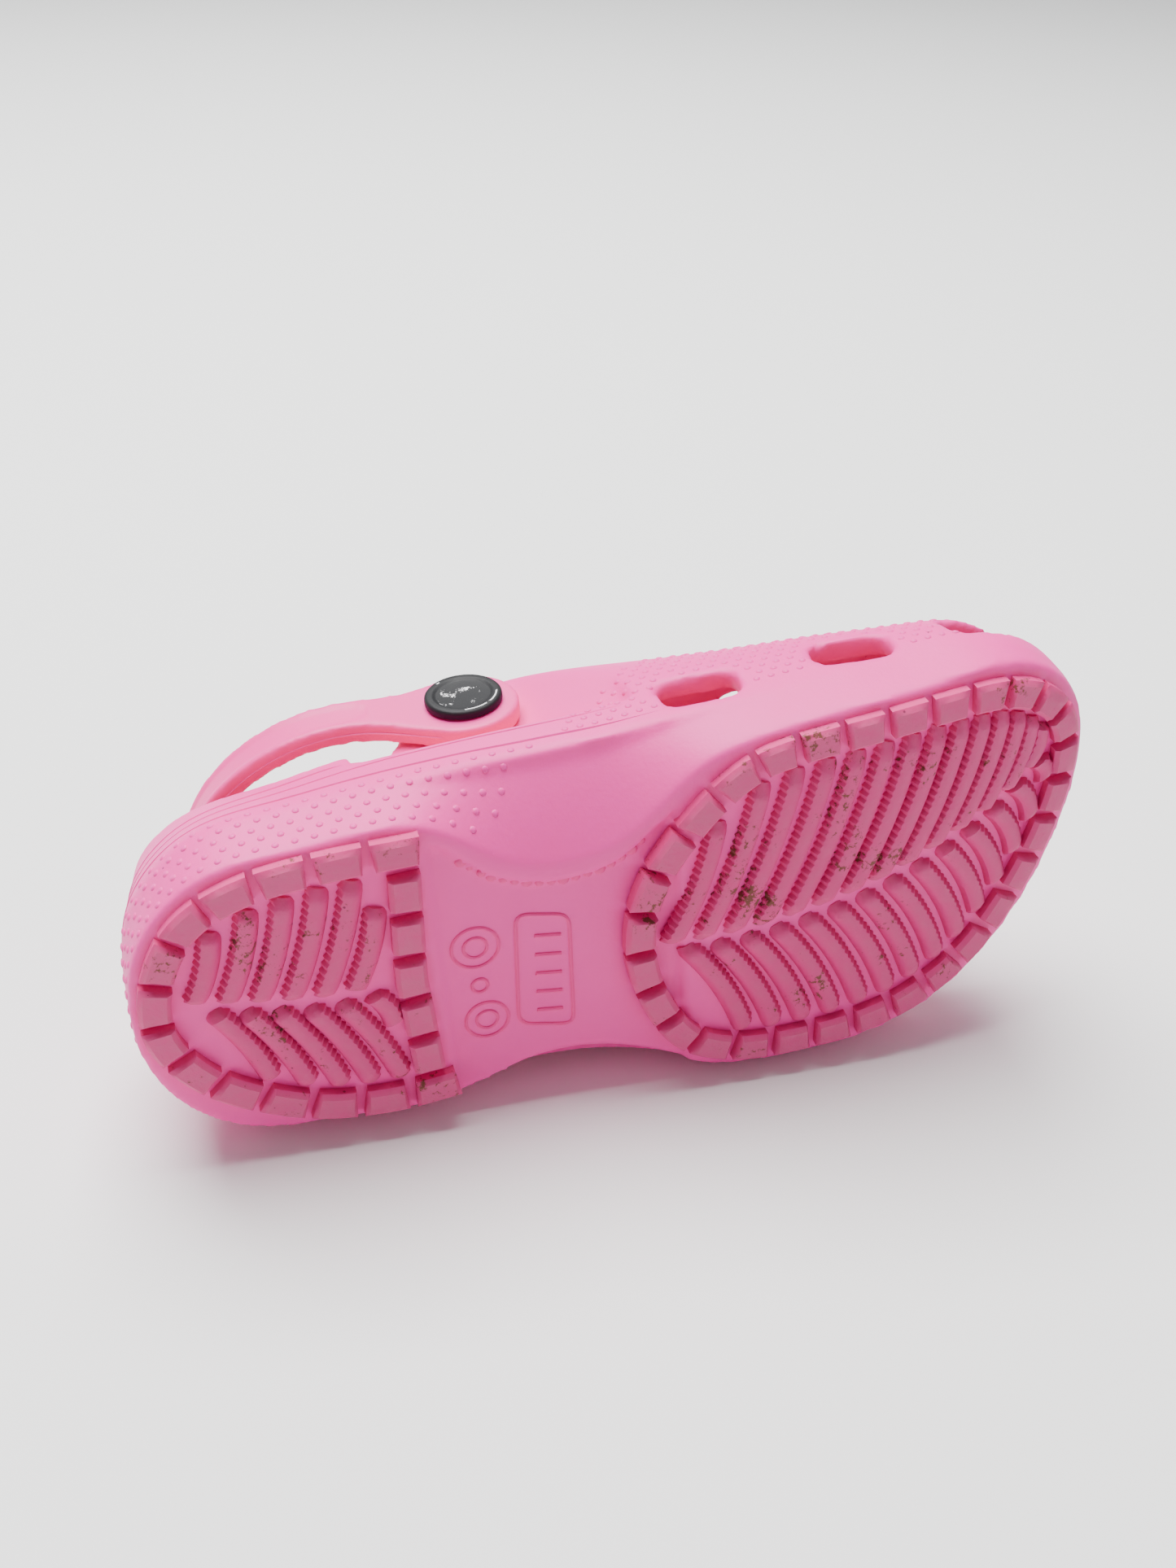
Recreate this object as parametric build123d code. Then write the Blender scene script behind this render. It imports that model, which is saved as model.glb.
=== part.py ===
from build123d import *
import os
from math import asin, cos, sin

# A child's left foam clog with a pivoting heel strap, in millimetres.
# Own frame: +X to the toe, +Y to the outer side of the foot, +Z up, ground at z = 0,
# origin under the middle of the whole clog.

# ---- overall sizes -------------------------------------------------------------
LENGTH = 205.0            # heel to toe, over the walls
WIDTH = 90.0              # widest place of the forefoot, inner side to outer side
HEIGHT = 78.0             # ground to the top of the instep

# ---- moulded foam body ---------------------------------------------------------
WALL = 4.6                # thickness of the upper
LUG_HEIGHT = 2.9          # tread blocks below the flat underside
PAD = 0.9                 # web that joins the tread blocks
SOLE_TOP = 16.5           # height of the widest line, where the walls begin
FOOTBED = 3.2             # thickness of the footbed layer on the sole
TOE_SPRING = 9.3          # rise of the underside at the toe tip
SPRING_START = 0.71       # where that rise starts, as a share of the length
HEEL_LEAN = 0.12          # lean of the heel wall towards the toe, mm per mm of height

# ---- tread ---------------------------------------------------------------------
BLOCK_DEPTH = 6.3         # edge blocks, measured in from the tread edge
BLOCK_GAP = 1.7           # slot between two edge blocks
FORE_BLOCKS = 30
HEEL_BLOCKS = 15
HEEL_ROW = 5              # blocks across the front of the heel tread
RIB_WIDTH = 4.2
RIB_PITCH = 7.1
FORE_RIBS = 11
HEEL_RIBS = 5

# ---- strap, seat and rivets ----------------------------------------------------
PIVOT_X = 78.6            # pivot, from the heel face
PIVOT_Z = 46.5
STRAP_THICK = 4.5
BAND_HEIGHT = 10.8
EAR_RADIUS = 11.6
STRAP_REACH = 65.0        # pivot to the outer face at the back
STRAP_LIFT = 6.0          # degrees that the strap rises towards the back at rest
SEAT_GAP = 0.3            # free gap between strap and seat, and head and strap
SEAT_INNER = 29.2         # seat plane on the inner side, from the foot line
SEAT_OUTER = 28.6         # seat plane on the outer side
SEAT_THICK = 4.6
SEAT_RAMP = 19.0          # length over which the seat runs out into the upper, towards the toe
SEAT_RISE = {-1: 8.0, 1: 13.0}   # how far the ramp climbs outwards on each side
SHANK_RADIUS = 2.9
RUNNING_FIT = 0.06        # radial clearance of the shank in strap and wall
HEAD_RADIUS = 8.25
HEAD_THICK = 1.9
SOCKET_RADIUS = 6.6
SOCKET_THICK = 1.8

# ---- vents ---------------------------------------------------------------------
SIDE_VENT = (16.5, 10.6)  # along the shoe, and up the wall
TOP_VENT = 4.6            # radius of the round vents on the toe box
VENT_CORNER = 3.2

# The pattern below is drawn on a last 198.3 long, 87 wide and 75.5 high.
SX, SY, SZ = LENGTH / 198.3, WIDTH / 87.0, HEIGHT / 75.5
HEEL_X, TOE_X = 4.0, 202.3
MID_X = (HEEL_X + TOE_X) / 2.0
MID_Y = 4.7

# foot line: the middle of the clog from heel to toe, (x, y)
FOOT_LINE = [(4, 1.5), (40, 2), (75, 2.5), (105, 4), (140, 3.5), (170, 0), (190, -6), (202.3, -12)]
# half widths from the foot line at the widest height, (x, half width)
RIM_IN = [(34, 34.5), (60, 36.4), (92, 38.3), (124, 41.0), (150, 41.2), (170, 38.8)]
RIM_OUT = [(34, 33.2), (60, 35.8), (82, 36.2), (98, 38.2), (114, 42.0), (132, 44.4), (150, 45.0)]
# the same at the underside, with the arch hollow on the inner side
SOLE_IN = [(34, 32.8), (58, 33.5), (66, 30.5), (74, 22.8), (81, 18.4), (90, 17.3), (99, 19.1),
           (107, 25.0), (114, 32.4), (124, 37.4), (140, 39.5), (156, 39.3), (170, 37.4)]
SOLE_OUT = [(34, 31.2), (53, 33.4), (66, 32.0), (78, 27.5), (91, 26.3), (104, 31.0),
            (115, 38.1), (130, 41.3), (150, 42.3)]
# height of the dome and how square its cross-section is, (x, height) and (x, exponent)
DOME = [(4, 90), (40, 90), (70, 88), (84, 83), (96, 77.8), (108, 72.8), (122, 66.5), (138, 60.5),
        (154, 55.5), (168, 51), (180, 45.5), (190, 38.5), (197, 31.0), (202.3, 15.9)]
SQUARE = [(4, 1.05), (34, 1.08), (60, 1.4), (80, 1.65), (92, 2.05), (102, 2.25), (140, 2.3), (202, 2.35)]
# edge of the foot opening seen from the side, (x, height)
COLLAR = [(2, 44.5), (12, 43.6), (24, 41.2), (36, 38.4), (48, 36.3), (57, 35.2), (62, 38.0), (66, 45),
          (70, 54), (76, 59.6), (84, 62), (90, 64.6), (96, 69), (101, 73.4), (106, 77), (112, 80)]
# shares of the length where each outline gets a point
STATIONS = [0, 0.008, 0.03, 0.07, 0.12, 0.18, 0.24, 0.29, 0.33, 0.37, 0.41, 0.45, 0.49, 0.53, 0.57,
            0.62, 0.68, 0.74, 0.8, 0.86, 0.91, 0.95, 0.98, 0.995, 1.0]
# tread edges seen from below, (x, y)
FORE_EDGE = [(199.4, -13), (197, -23.5), (190, -31), (180, -35), (167, -35.8), (150, -35.2), (135, -34),
             (126, -31.8), (117.5, -26.3), (110, -18.6), (103.6, -9.6), (100, 0.5), (99.6, 12),
             (103, 25), (109.5, 35.5), (119.5, 41.2), (132, 43.2), (148, 42.8), (163, 39.2),
             (177, 30.5), (188.5, 16.5), (196.3, 1)]
HEEL_EDGE = [(63, -30), (44, -30.2), (28, -28.6), (16, -23), (8.6, -12.3), (6, 0), (8.8, 10.4),
             (17.5, 21.2), (33, 30.3), (49, 33.6), (64.2, 33.2)]


def smooth(table, x):
    """Value at x of the smooth curve through a table of (x, value)."""
    if x <= table[0][0]:
        return table[0][1]
    if x >= table[-1][0]:
        return table[-1][1]
    i = 0
    while table[i + 1][0] < x:
        i = i + 1

    def slope(k):
        low, high = max(k - 1, 0), min(k + 1, len(table) - 1)
        return (table[high][1] - table[low][1]) / (table[high][0] - table[low][0])

    h = table[i + 1][0] - table[i][0]
    t = (x - table[i][0]) / h
    rise = (3 - 2 * t) * t * t
    bend = slope(i) * h * t * (1 - t) ** 2 - slope(i + 1) * h * t * t * (1 - t)
    return table[i][1] + (table[i + 1][1] - table[i][1]) * rise + bend


def rounded_end(reach, power):
    """Share of the full half width left at a share of the way out to a rounded end."""
    return (1 - min(abs(reach), 1.0) ** power) ** (1 / power)


def half_width(table, x, side, heel_x, toe_x):
    """Half width at x of an outline with a round heel and a slanted round toe."""
    width = smooth(table, x)
    heel_start, toe_start = 34.0, (170.0 if side < 0 else 150.0)
    if x < heel_start:
        return width * rounded_end((heel_start - x) / (heel_start - heel_x), 2.15)
    if x > toe_start:
        return width * rounded_end((x - toe_start) / (toe_x - toe_start), 1.82 if side < 0 else 1.95)
    return width


def dome_share(x, z, inset):
    """Share of the half width left at height z over the widest line."""
    top = smooth(DOME, x) - inset
    base = SOLE_TOP / SZ
    t = min(max((z - base) / max(top - base, 0.01), 0.0), 1.0)
    n = smooth(SQUARE, x)
    return (1 - t ** n) ** (1 / n)


def toe_at(z, inset):
    """Where the dome comes down to height z, going to the toe."""
    low, high = 60.0, TOE_X - inset
    if smooth(DOME, high) - inset >= z:
        return high
    for step in range(40):
        middle = (low + high) / 2
        if smooth(DOME, middle) - inset > z:
            low = middle
        else:
            high = middle
    return low


def at(x, y, z):
    """A point of the pattern in the clog's own frame."""
    return Vector((x - MID_X) * SX, (y - MID_Y) * SY, z * SZ)


def outline(z, inset=0.0, sole_share=0.0, rise=0.0):
    """Closed plan outline at height z, drawn in by inset; sole_share blends to the underside."""
    base = SOLE_TOP / SZ
    heel = HEEL_X + inset + 0.6 * sole_share + HEEL_LEAN * max(z - base, 0.0)
    toe = TOE_X - inset - 1.5 * sole_share if z <= base else toe_at(z, inset)
    rows = {}
    for side, rim, sole in ((-1, RIM_IN, SOLE_IN), (1, RIM_OUT, SOLE_OUT)):
        rows[side] = []
        for share in STATIONS:
            x = heel + share * (toe - heel)
            end = TOE_X - inset if z > base else toe
            w = half_width(rim, x, side, heel, end) * (1 - sole_share)
            w = w + half_width(sole, x, side, heel, end) * sole_share
            w = w * dome_share(x, z, inset)
            shrink = inset * min(1.0, w / 12.0)
            rows[side].append(at(x, smooth(FOOT_LINE, x) + side * max(w - shrink, 0.0), z + rise))
    ring = rows[-1] + rows[1][-2:0:-1]
    steps = [i / len(ring) for i in range(len(ring) + 1)]
    return Face(Wire([Edge.make_spline(ring, periodic=True, parameters=steps)]))


def side_region(points, y_low=-80.0, y_high=80.0):
    """A side-view outline (x, z), carried across the clog from y_low to y_high."""
    face = make_face(Polyline([Vector(x, y_low, z) for x, z in points], close=True))
    return extrude(face, y_high - y_low, dir=(0, 1, 0))


def under_curve(lift, floor):
    """Side-view region below the underside raised by lift: flat, then an arc up to the toe."""
    start = (SPRING_START - 0.5) * LENGTH
    run = LENGTH / 2 - start
    radius = (run ** 2 + TOE_SPRING ** 2) / (2 * TOE_SPRING)
    turn = asin((run + 8) / (radius - lift))
    middle = radius - lift
    p0 = Vector(-LENGTH / 2 - 5, -80, lift)
    p1 = Vector(start, -80, lift)
    p2 = Vector(start + middle * sin(turn / 2), -80, radius - middle * cos(turn / 2))
    p3 = Vector(start + middle * sin(turn), -80, radius - middle * cos(turn))
    p4 = Vector(p3.X, -80, floor)
    p5 = Vector(p0.X, -80, floor)
    edges = [Line(p0, p1), ThreePointArc(p1, p2, p3), Line(p3, p4), Line(p4, p5), Line(p5, p0)]
    return extrude(make_face(Wire(edges)), 160, dir=(0, 1, 0))


def cylinder_y(x, z, radius, y_from, y_to):
    """A round bar along Y."""
    disc = Plane(origin=(x, y_from, z), z_dir=(0, 1, 0)) * Circle(radius)
    return extrude(disc, y_to - y_from, dir=(0, 1, 0))


def box(x0, x1, y0, y1, z0, z1):
    """A block between two corners."""
    return Pos((x0 + x1) / 2, (y0 + y1) / 2, (z0 + z1) / 2) * Box(x1 - x0, y1 - y0, z1 - z0)


def plan_block(points, height):
    """A block with a straight-sided plan outline, from z = 0 up."""
    return extrude(make_face(Polyline([Vector(x, y, 0) for x, y in points], close=True)), height,
                   dir=(0, 0, 1))


# ---- shells ---------------------------------------------------------------------
base = SOLE_TOP / SZ
lower = loft([outline(LUG_HEIGHT / SZ - 1.0, sole_share=1.0), outline(8.5 / SZ, sole_share=0.45),
              outline(base)])
levels = [base, 24, 32, 40, 48, 56, 63, 69, 75.5]
dome = loft([outline(z) for z in levels])
inset = WALL / SY
hollow_levels = [base, 24, 32, 40, 48, 56, 63, 69, 76.5]
hollow = loft([outline(z, inset) for z in hollow_levels])

edge = [((x - MID_X) * SX, z * SZ) for x, z in COLLAR]
collar_line = Spline([Vector(x, -80, z) for x, z in edge])
up = Line(collar_line @ 1, Vector(edge[-1][0], -80, 120))
over = Line(up @ 1, Vector(-160, -80, 120))
back = Line(over @ 1, Vector(-160, -80, edge[0][1]))
close_line = Line(back @ 1, collar_line @ 0)
opening = extrude(make_face(Wire([collar_line, up, over, back, close_line])), 160, dir=(0, 1, 0))

# ---- seats for the strap ends: flat faces with a pad behind each one -------------
pivot_x = PIVOT_X - LENGTH / 2
foot_y = (2.6 - MID_Y) * SY
seat_y = {-1: foot_y - SEAT_INNER, 1: foot_y + SEAT_OUTER}
seat_low = PIVOT_Z - EAR_RADIUS - 0.6
seat_back = pivot_x - EAR_RADIUS - 11.0
seat_front = pivot_x + EAR_RADIUS + 0.6
upper = dome - hollow
for side in (-1, 1):
    face_y = seat_y[side]
    ramp_x, ramp_y = seat_front + SEAT_RAMP, face_y + side * SEAT_RISE[side]
    cut_plan = [(seat_back - 4, face_y), (seat_front, face_y), (ramp_x, ramp_y), (ramp_x, side * 90.0),
                (seat_back - 4, side * 90.0)]
    cut = Pos(0, 0, seat_low - 8) * plan_block(cut_plan, 120)
    ledge = Plane(origin=(0, face_y, seat_low), z_dir=(0, side * 0.66, 0.75))
    upper = upper - cut.split(ledge, keep=Keep.TOP)
    back_y = face_y - side * SEAT_THICK
    pad_plan = [(seat_back, face_y), (seat_front, face_y), (ramp_x, ramp_y),
                (ramp_x, ramp_y - side * SEAT_THICK), (seat_front, back_y), (seat_back, back_y)]
    pad = Pos(0, 0, seat_low - 9) * plan_block(pad_plan, 60)
    upper = upper + (pad & dome)
    # below the ledge the pad reaches out to the wall, so that no slot is left between them
    foot_plan = [(seat_back, back_y + side * 1.0), (ramp_x, back_y + side * 1.0), (ramp_x, face_y + side * 5.4),
                 (seat_back, face_y + side * 5.4)]
    foot = Pos(0, 0, seat_low - 8.5) * plan_block(foot_plan, 12)
    upper = upper + (foot.split(ledge, keep=Keep.BOTTOM) & dome)
upper = upper - opening
for side in (-1, 1):
    y0, y1 = sorted((side * 5.0, side * 70.0))
    upper = upper - cylinder_y(pivot_x, PIVOT_Z, SHANK_RADIUS + RUNNING_FIT, y0, y1)
    y0, y1 = sorted((seat_y[side] - side * SEAT_THICK, side * 4.0))
    upper = upper - cylinder_y(pivot_x, PIVOT_Z, SOCKET_RADIUS + 1.2, y0, y1)

# ---- vents ----------------------------------------------------------------------
length, tall = SIDE_VENT
for side, places in ((-1, ((123, 22.2, -6), (155, 22.8, -4), (184, 24.8, 4))),
                     (1, ((113, 22.6, -6), (138, 22.8, -5), (161.5, 23.2, -4), (180, 25, 4)))):
    for x, z, turn in places:
        shape = RectangleRounded(length, tall, VENT_CORNER)
        plane = Plane(origin=((x - MID_X) * SX, side * 12.0, z * SZ), z_dir=(0, side, 0), x_dir=(1, 0, 0))
        upper = upper - extrude(plane * (Rot(0, 0, -side * turn) * shape), 60)
for x, row in ((118, (-11, 4, 19)), (129.5, (-4, 11)), (141, (-12, 3, 18)), (153, (-5, 9)), (165, (-14, 0, 14))):
    for y in row:
        place = at(x, y, 25)
        upper = upper - Pos(place.X, place.Y, place.Z) * Cylinder(
            TOP_VENT, 80, align=(Align.CENTER, Align.CENTER, Align.MIN))

# ---- nodes of the moulded body ---------------------------------------------------
underside = under_curve(LUG_HEIGHT, -30)
sole = lower - underside
split_x = seat_back - 2.0
cut_plane = Plane(origin=(split_x, 0, 0), z_dir=(1, 0, 0))
heel_cup = upper.split(cut_plane, keep=Keep.BOTTOM)
vamp_upper = upper.split(cut_plane, keep=Keep.TOP)
footbed = hollow.split(Plane(origin=(0, 0, SOLE_TOP + FOOTBED), z_dir=(0, 0, 1)), keep=Keep.BOTTOM)

# ---- treads ----------------------------------------------------------------------
band = under_curve(LUG_HEIGHT, -30) - under_curve(0.0, -40)
web = under_curve(LUG_HEIGHT, -30) - under_curve(LUG_HEIGHT - PAD, -40)


def plan_points(points):
    return [Vector((x - MID_X) * SX, (y - MID_Y) * SY, 0) for x, y in points]


def inner_ring(points, depth):
    """Points of a closed outline moved inwards by depth."""
    moved = []
    count = len(points)
    turn = sum(points[i].X * points[(i + 1) % count].Y - points[(i + 1) % count].X * points[i].Y
               for i in range(count))
    sign = 1.0 if turn > 0 else -1.0
    for i in range(count):
        along = (points[(i + 1) % count] - points[i - 1]).normalized()
        moved.append(points[i] + Vector(-along.Y, along.X, 0) * depth * sign)
    return moved


def tall(face):
    return extrude(Pos(0, 0, -1) * face, 20, dir=(0, 0, 1))


def slot(place, along, width, length):
    """A cutter across the tread edge."""
    plane = Plane(origin=(place.X, place.Y, 0), x_dir=(along.X, along.Y, 0), z_dir=(0, 0, 1))
    return plane * Box(width, length, 80)


def ribs(count, x_first, spine, lean, inside):
    """Slanted bars on both sides of a spine, kept inside a region."""
    bars = None
    for i in range(count):
        x = x_first + i * RIB_PITCH
        y = spine(x)
        for side in (-1, 1):
            plane = Plane(origin=(x, y + side * 0.9, 0), x_dir=(lean, side, 0), z_dir=(0, 0, 1))
            bar = plane * Pos(30, 0, 0) * Box(60, RIB_WIDTH, 80)
            bars = bar if bars is None else bars + bar
    return bars & inside


fore_pts = plan_points(FORE_EDGE)
fore_curve = Spline(fore_pts, periodic=True)
fore_area = tall(make_face(fore_curve))
fore_core = tall(make_face(Spline(inner_ring(fore_pts, BLOCK_DEPTH), periodic=True)))
fore_inner = tall(make_face(Spline(inner_ring(fore_pts, BLOCK_DEPTH + 1.6), periodic=True)))
fore_blocks = fore_area - fore_core
for i in range(FORE_BLOCKS):
    t = (i + 0.5) / FORE_BLOCKS
    fore_blocks = fore_blocks - slot(fore_curve @ t, fore_curve % t, BLOCK_GAP, 2.4 * BLOCK_DEPTH)
fore_ribs = ribs(FORE_RIBS, (113 - MID_X) * SX, lambda x: (9.5 - MID_Y) * SY - 0.0034 * max(x - 12, 0) ** 2,
                 0.42, fore_inner)
forefoot_tread = (fore_area & web) + ((fore_blocks + fore_ribs) & band)

heel_pts = plan_points(HEEL_EDGE)
heel_curve = Spline(heel_pts)
heel_front = Line(heel_curve @ 1, heel_curve @ 0)
heel_area = tall(make_face(Wire([heel_curve, heel_front])))
front_x = min((heel_curve @ 0).X, (heel_curve @ 1).X) - BLOCK_DEPTH - 0.8
inner_pts = inner_ring(heel_pts, BLOCK_DEPTH)
inner_curve = Spline(inner_pts[1:-1])
stretch = [Vector(front_x + 20, (inner_curve @ 0).Y, 0), Vector(front_x + 20, (inner_curve @ 1).Y, 0)]
inner_face = make_face(Wire([inner_curve, Line(inner_curve @ 1, stretch[1]), Line(stretch[1], stretch[0]),
                             Line(stretch[0], inner_curve @ 0)]))
heel_hole = tall(inner_face) & box(-160, front_x, -90, 90, -40, 80)
heel_blocks = heel_area - heel_hole
for i in range(1, HEEL_BLOCKS):
    t = i / HEEL_BLOCKS
    heel_blocks = heel_blocks - slot(heel_curve @ t, heel_curve % t, BLOCK_GAP, 2.4 * BLOCK_DEPTH)
row_low, row_high = (heel_curve @ 0).Y + BLOCK_DEPTH, (heel_curve @ 1).Y - BLOCK_DEPTH
for i in range(HEEL_ROW + 1):
    y = row_low + (row_high - row_low) * i / HEEL_ROW
    heel_blocks = heel_blocks - slot(Vector(front_x + BLOCK_DEPTH / 2, y, 0), Vector(0, 1, 0), BLOCK_GAP,
                                     2.6 * BLOCK_DEPTH)
heel_ribs = ribs(HEEL_RIBS, (20 - MID_X) * SX, lambda x: (2.0 - MID_Y) * SY, 0.42,
                 heel_hole & box(-160, front_x - 1.6, -90, 90, -40, 80))
heel_tread = (heel_area & web) + ((heel_blocks + heel_ribs) & band)

# ---- strap -----------------------------------------------------------------------
strap_in = seat_y[-1] - SEAT_GAP - STRAP_THICK / 2
strap_out = seat_y[1] + SEAT_GAP + STRAP_THICK / 2
strap_mid = (strap_in + strap_out) / 2
strap_half = (strap_out - strap_in) / 2
# half of the loop: (share of the reach behind the pivot, share of the half width)
LOOP = [(-0.19, 1.0), (0.0, 1.0), (0.17, 1.0), (0.34, 1.035), (0.5, 1.02), (0.66, 0.92), (0.81, 0.73),
        (0.93, 0.45), (0.99, 0.15)]
reach = STRAP_REACH - STRAP_THICK / 2


def loop_points(offset):
    centre = [Vector(pivot_x - share * reach, strap_mid - wide * strap_half, 0) for share, wide in LOOP]
    centre = centre + [Vector(p.X, 2 * strap_mid - p.Y, 0) for p in reversed(centre)]
    moved = []
    for i in range(len(centre)):
        along = (centre[min(i + 1, len(centre) - 1)] - centre[max(i - 1, 0)]).normalized()
        moved.append(centre[i] + Vector(along.Y, -along.X, 0) * offset)
    return moved


outer = Spline(loop_points(-STRAP_THICK / 2))
inner = Spline(loop_points(STRAP_THICK / 2))
loop_face = make_face(Wire([outer, Line(outer @ 1, inner @ 1), inner, Line(inner @ 0, outer @ 0)]))
loop_solid = Pos(0, 0, PIVOT_Z - 30) * extrude(loop_face, 60, dir=(0, 0, 1))
half_band = BAND_HEIGHT / 2
neck = [(0.0, EAR_RADIUS), (0.12, EAR_RADIUS * 0.8), (0.26, half_band * 1.16), (0.5, half_band),
        (0.8, half_band), (1.08, half_band)]
top_edge = Spline([Vector(pivot_x - share * reach, -80, PIVOT_Z + h) for share, h in neck])
low_edge = Spline([Vector(pivot_x - share * reach, -80, PIVOT_Z - h) for share, h in neck])
neck_face = make_face(Wire([top_edge, Line(top_edge @ 1, low_edge @ 1), low_edge,
                            Line(low_edge @ 0, top_edge @ 0)]))
side_shape = extrude(neck_face, 160, dir=(0, 1, 0)) + cylinder_y(pivot_x, PIVOT_Z, EAR_RADIUS, -80, 80)
heel_strap = loop_solid & side_shape
for side in (-1, 1):
    y0, y1 = sorted((side * 12.0, side * 70.0))
    heel_strap = heel_strap - cylinder_y(pivot_x, PIVOT_Z, SHANK_RADIUS + RUNNING_FIT, y0, y1)
heel_strap = heel_strap.rotate(Axis((pivot_x, 0, PIVOT_Z), (0, 1, 0)), STRAP_LIFT)

# ---- snap rivets -------------------------------------------------------------------
rivets = {}
for side, name in ((-1, "medial"), (1, "lateral")):
    strap_face = seat_y[side] + side * (SEAT_GAP + STRAP_THICK)
    head_low = strap_face + side * SEAT_GAP
    inner_face_y = seat_y[side] - side * (SEAT_THICK + SEAT_GAP)
    y0, y1 = sorted((head_low, head_low + side * HEAD_THICK))
    head = cylinder_y(pivot_x, PIVOT_Z, HEAD_RADIUS, y0, y1)
    rim_edges = [e for e in head.edges() if abs(e.center().Y - (head_low + side * HEAD_THICK)) < 0.01]
    head = fillet(rim_edges, 0.7)
    y0, y1 = sorted((head_low, inner_face_y))
    head = head + cylinder_y(pivot_x, PIVOT_Z, SHANK_RADIUS, y0, y1)
    y0, y1 = sorted((inner_face_y, inner_face_y - side * SOCKET_THICK))
    socket = cylinder_y(pivot_x, PIVOT_Z, SOCKET_RADIUS, y0, y1)
    far_edges = [e for e in socket.edges() if abs(e.center().Y - (inner_face_y - side * SOCKET_THICK)) < 0.01]
    socket = fillet(far_edges, 0.8)
    rivets[name + "_rivet_head"] = head
    rivets[name + "_rivet_socket"] = socket

nodes = {
    "sole": sole,
    "footbed": footbed,
    "vamp_upper": vamp_upper,
    "heel_cup": heel_cup,
    "forefoot_tread": forefoot_tread,
    "heel_tread": heel_tread,
    "heel_strap": heel_strap,
}
nodes.update(rivets)
os.makedirs("parts", exist_ok=True)
for name, solid in nodes.items():
    export_step(solid, "parts/" + name + ".step")
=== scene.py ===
"""Looks of a child's left foam clog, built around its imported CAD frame. All lengths in metres."""

import logging
import math
from collections.abc import Callable, Sequence
from dataclasses import dataclass, field
from enum import Enum

import bmesh
import bpy
from mathutils import Matrix, Vector
from mathutils.bvhtree import BVHTree


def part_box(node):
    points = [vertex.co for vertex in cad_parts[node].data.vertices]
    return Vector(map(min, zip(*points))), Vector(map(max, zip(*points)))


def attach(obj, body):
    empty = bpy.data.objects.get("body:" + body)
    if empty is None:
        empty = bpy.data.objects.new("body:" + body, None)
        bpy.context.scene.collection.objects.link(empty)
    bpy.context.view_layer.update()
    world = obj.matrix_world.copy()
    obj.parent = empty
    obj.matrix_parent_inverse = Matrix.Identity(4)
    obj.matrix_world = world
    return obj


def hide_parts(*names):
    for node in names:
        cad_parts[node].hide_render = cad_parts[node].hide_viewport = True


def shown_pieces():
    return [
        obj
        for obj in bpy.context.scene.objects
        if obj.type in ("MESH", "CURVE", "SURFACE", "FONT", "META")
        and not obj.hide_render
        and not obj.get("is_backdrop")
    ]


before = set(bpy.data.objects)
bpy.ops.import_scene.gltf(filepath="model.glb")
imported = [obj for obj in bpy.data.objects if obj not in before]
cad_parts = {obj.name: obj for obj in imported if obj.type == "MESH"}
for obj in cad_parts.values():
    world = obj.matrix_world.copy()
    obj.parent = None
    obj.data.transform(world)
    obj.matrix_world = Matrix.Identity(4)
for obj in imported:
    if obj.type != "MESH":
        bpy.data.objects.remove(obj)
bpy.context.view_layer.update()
LOG = logging.getLogger("clog")
MM = 0.001
Table = Sequence[tuple[float, float]]
Rgb = tuple[float, float, float]


class Side(Enum):
    """Which side of the left foot a feature is on; the value is the sign of its Y."""

    INNER = -1
    OUTER = 1


# --------------------------------------------------------------------------- pattern of the clog


def smooth(table: Table, x: float) -> float:
    """Value of the smooth curve through a table.

    Args:
        table: Rows of (x, value), x rising.
        x: Where to read the curve.

    Returns:
        The value at x, held constant past both ends.
    """
    if x <= table[0][0]:
        return table[0][1]
    if x >= table[-1][0]:
        return table[-1][1]
    i = max(k for k in range(len(table) - 1) if table[k][0] <= x)

    def slope(k: int) -> float:
        """Slope at row k from its neighbours."""
        low, high = max(k - 1, 0), min(k + 1, len(table) - 1)
        return (table[high][1] - table[low][1]) / (table[high][0] - table[low][0])

    h = table[i + 1][0] - table[i][0]
    t = (x - table[i][0]) / h
    rise = (3 - 2 * t) * t * t
    bend = slope(i) * h * t * (1 - t) ** 2 - slope(i + 1) * h * t * t * (1 - t)
    return table[i][1] + (table[i + 1][1] - table[i][1]) * rise + bend


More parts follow.
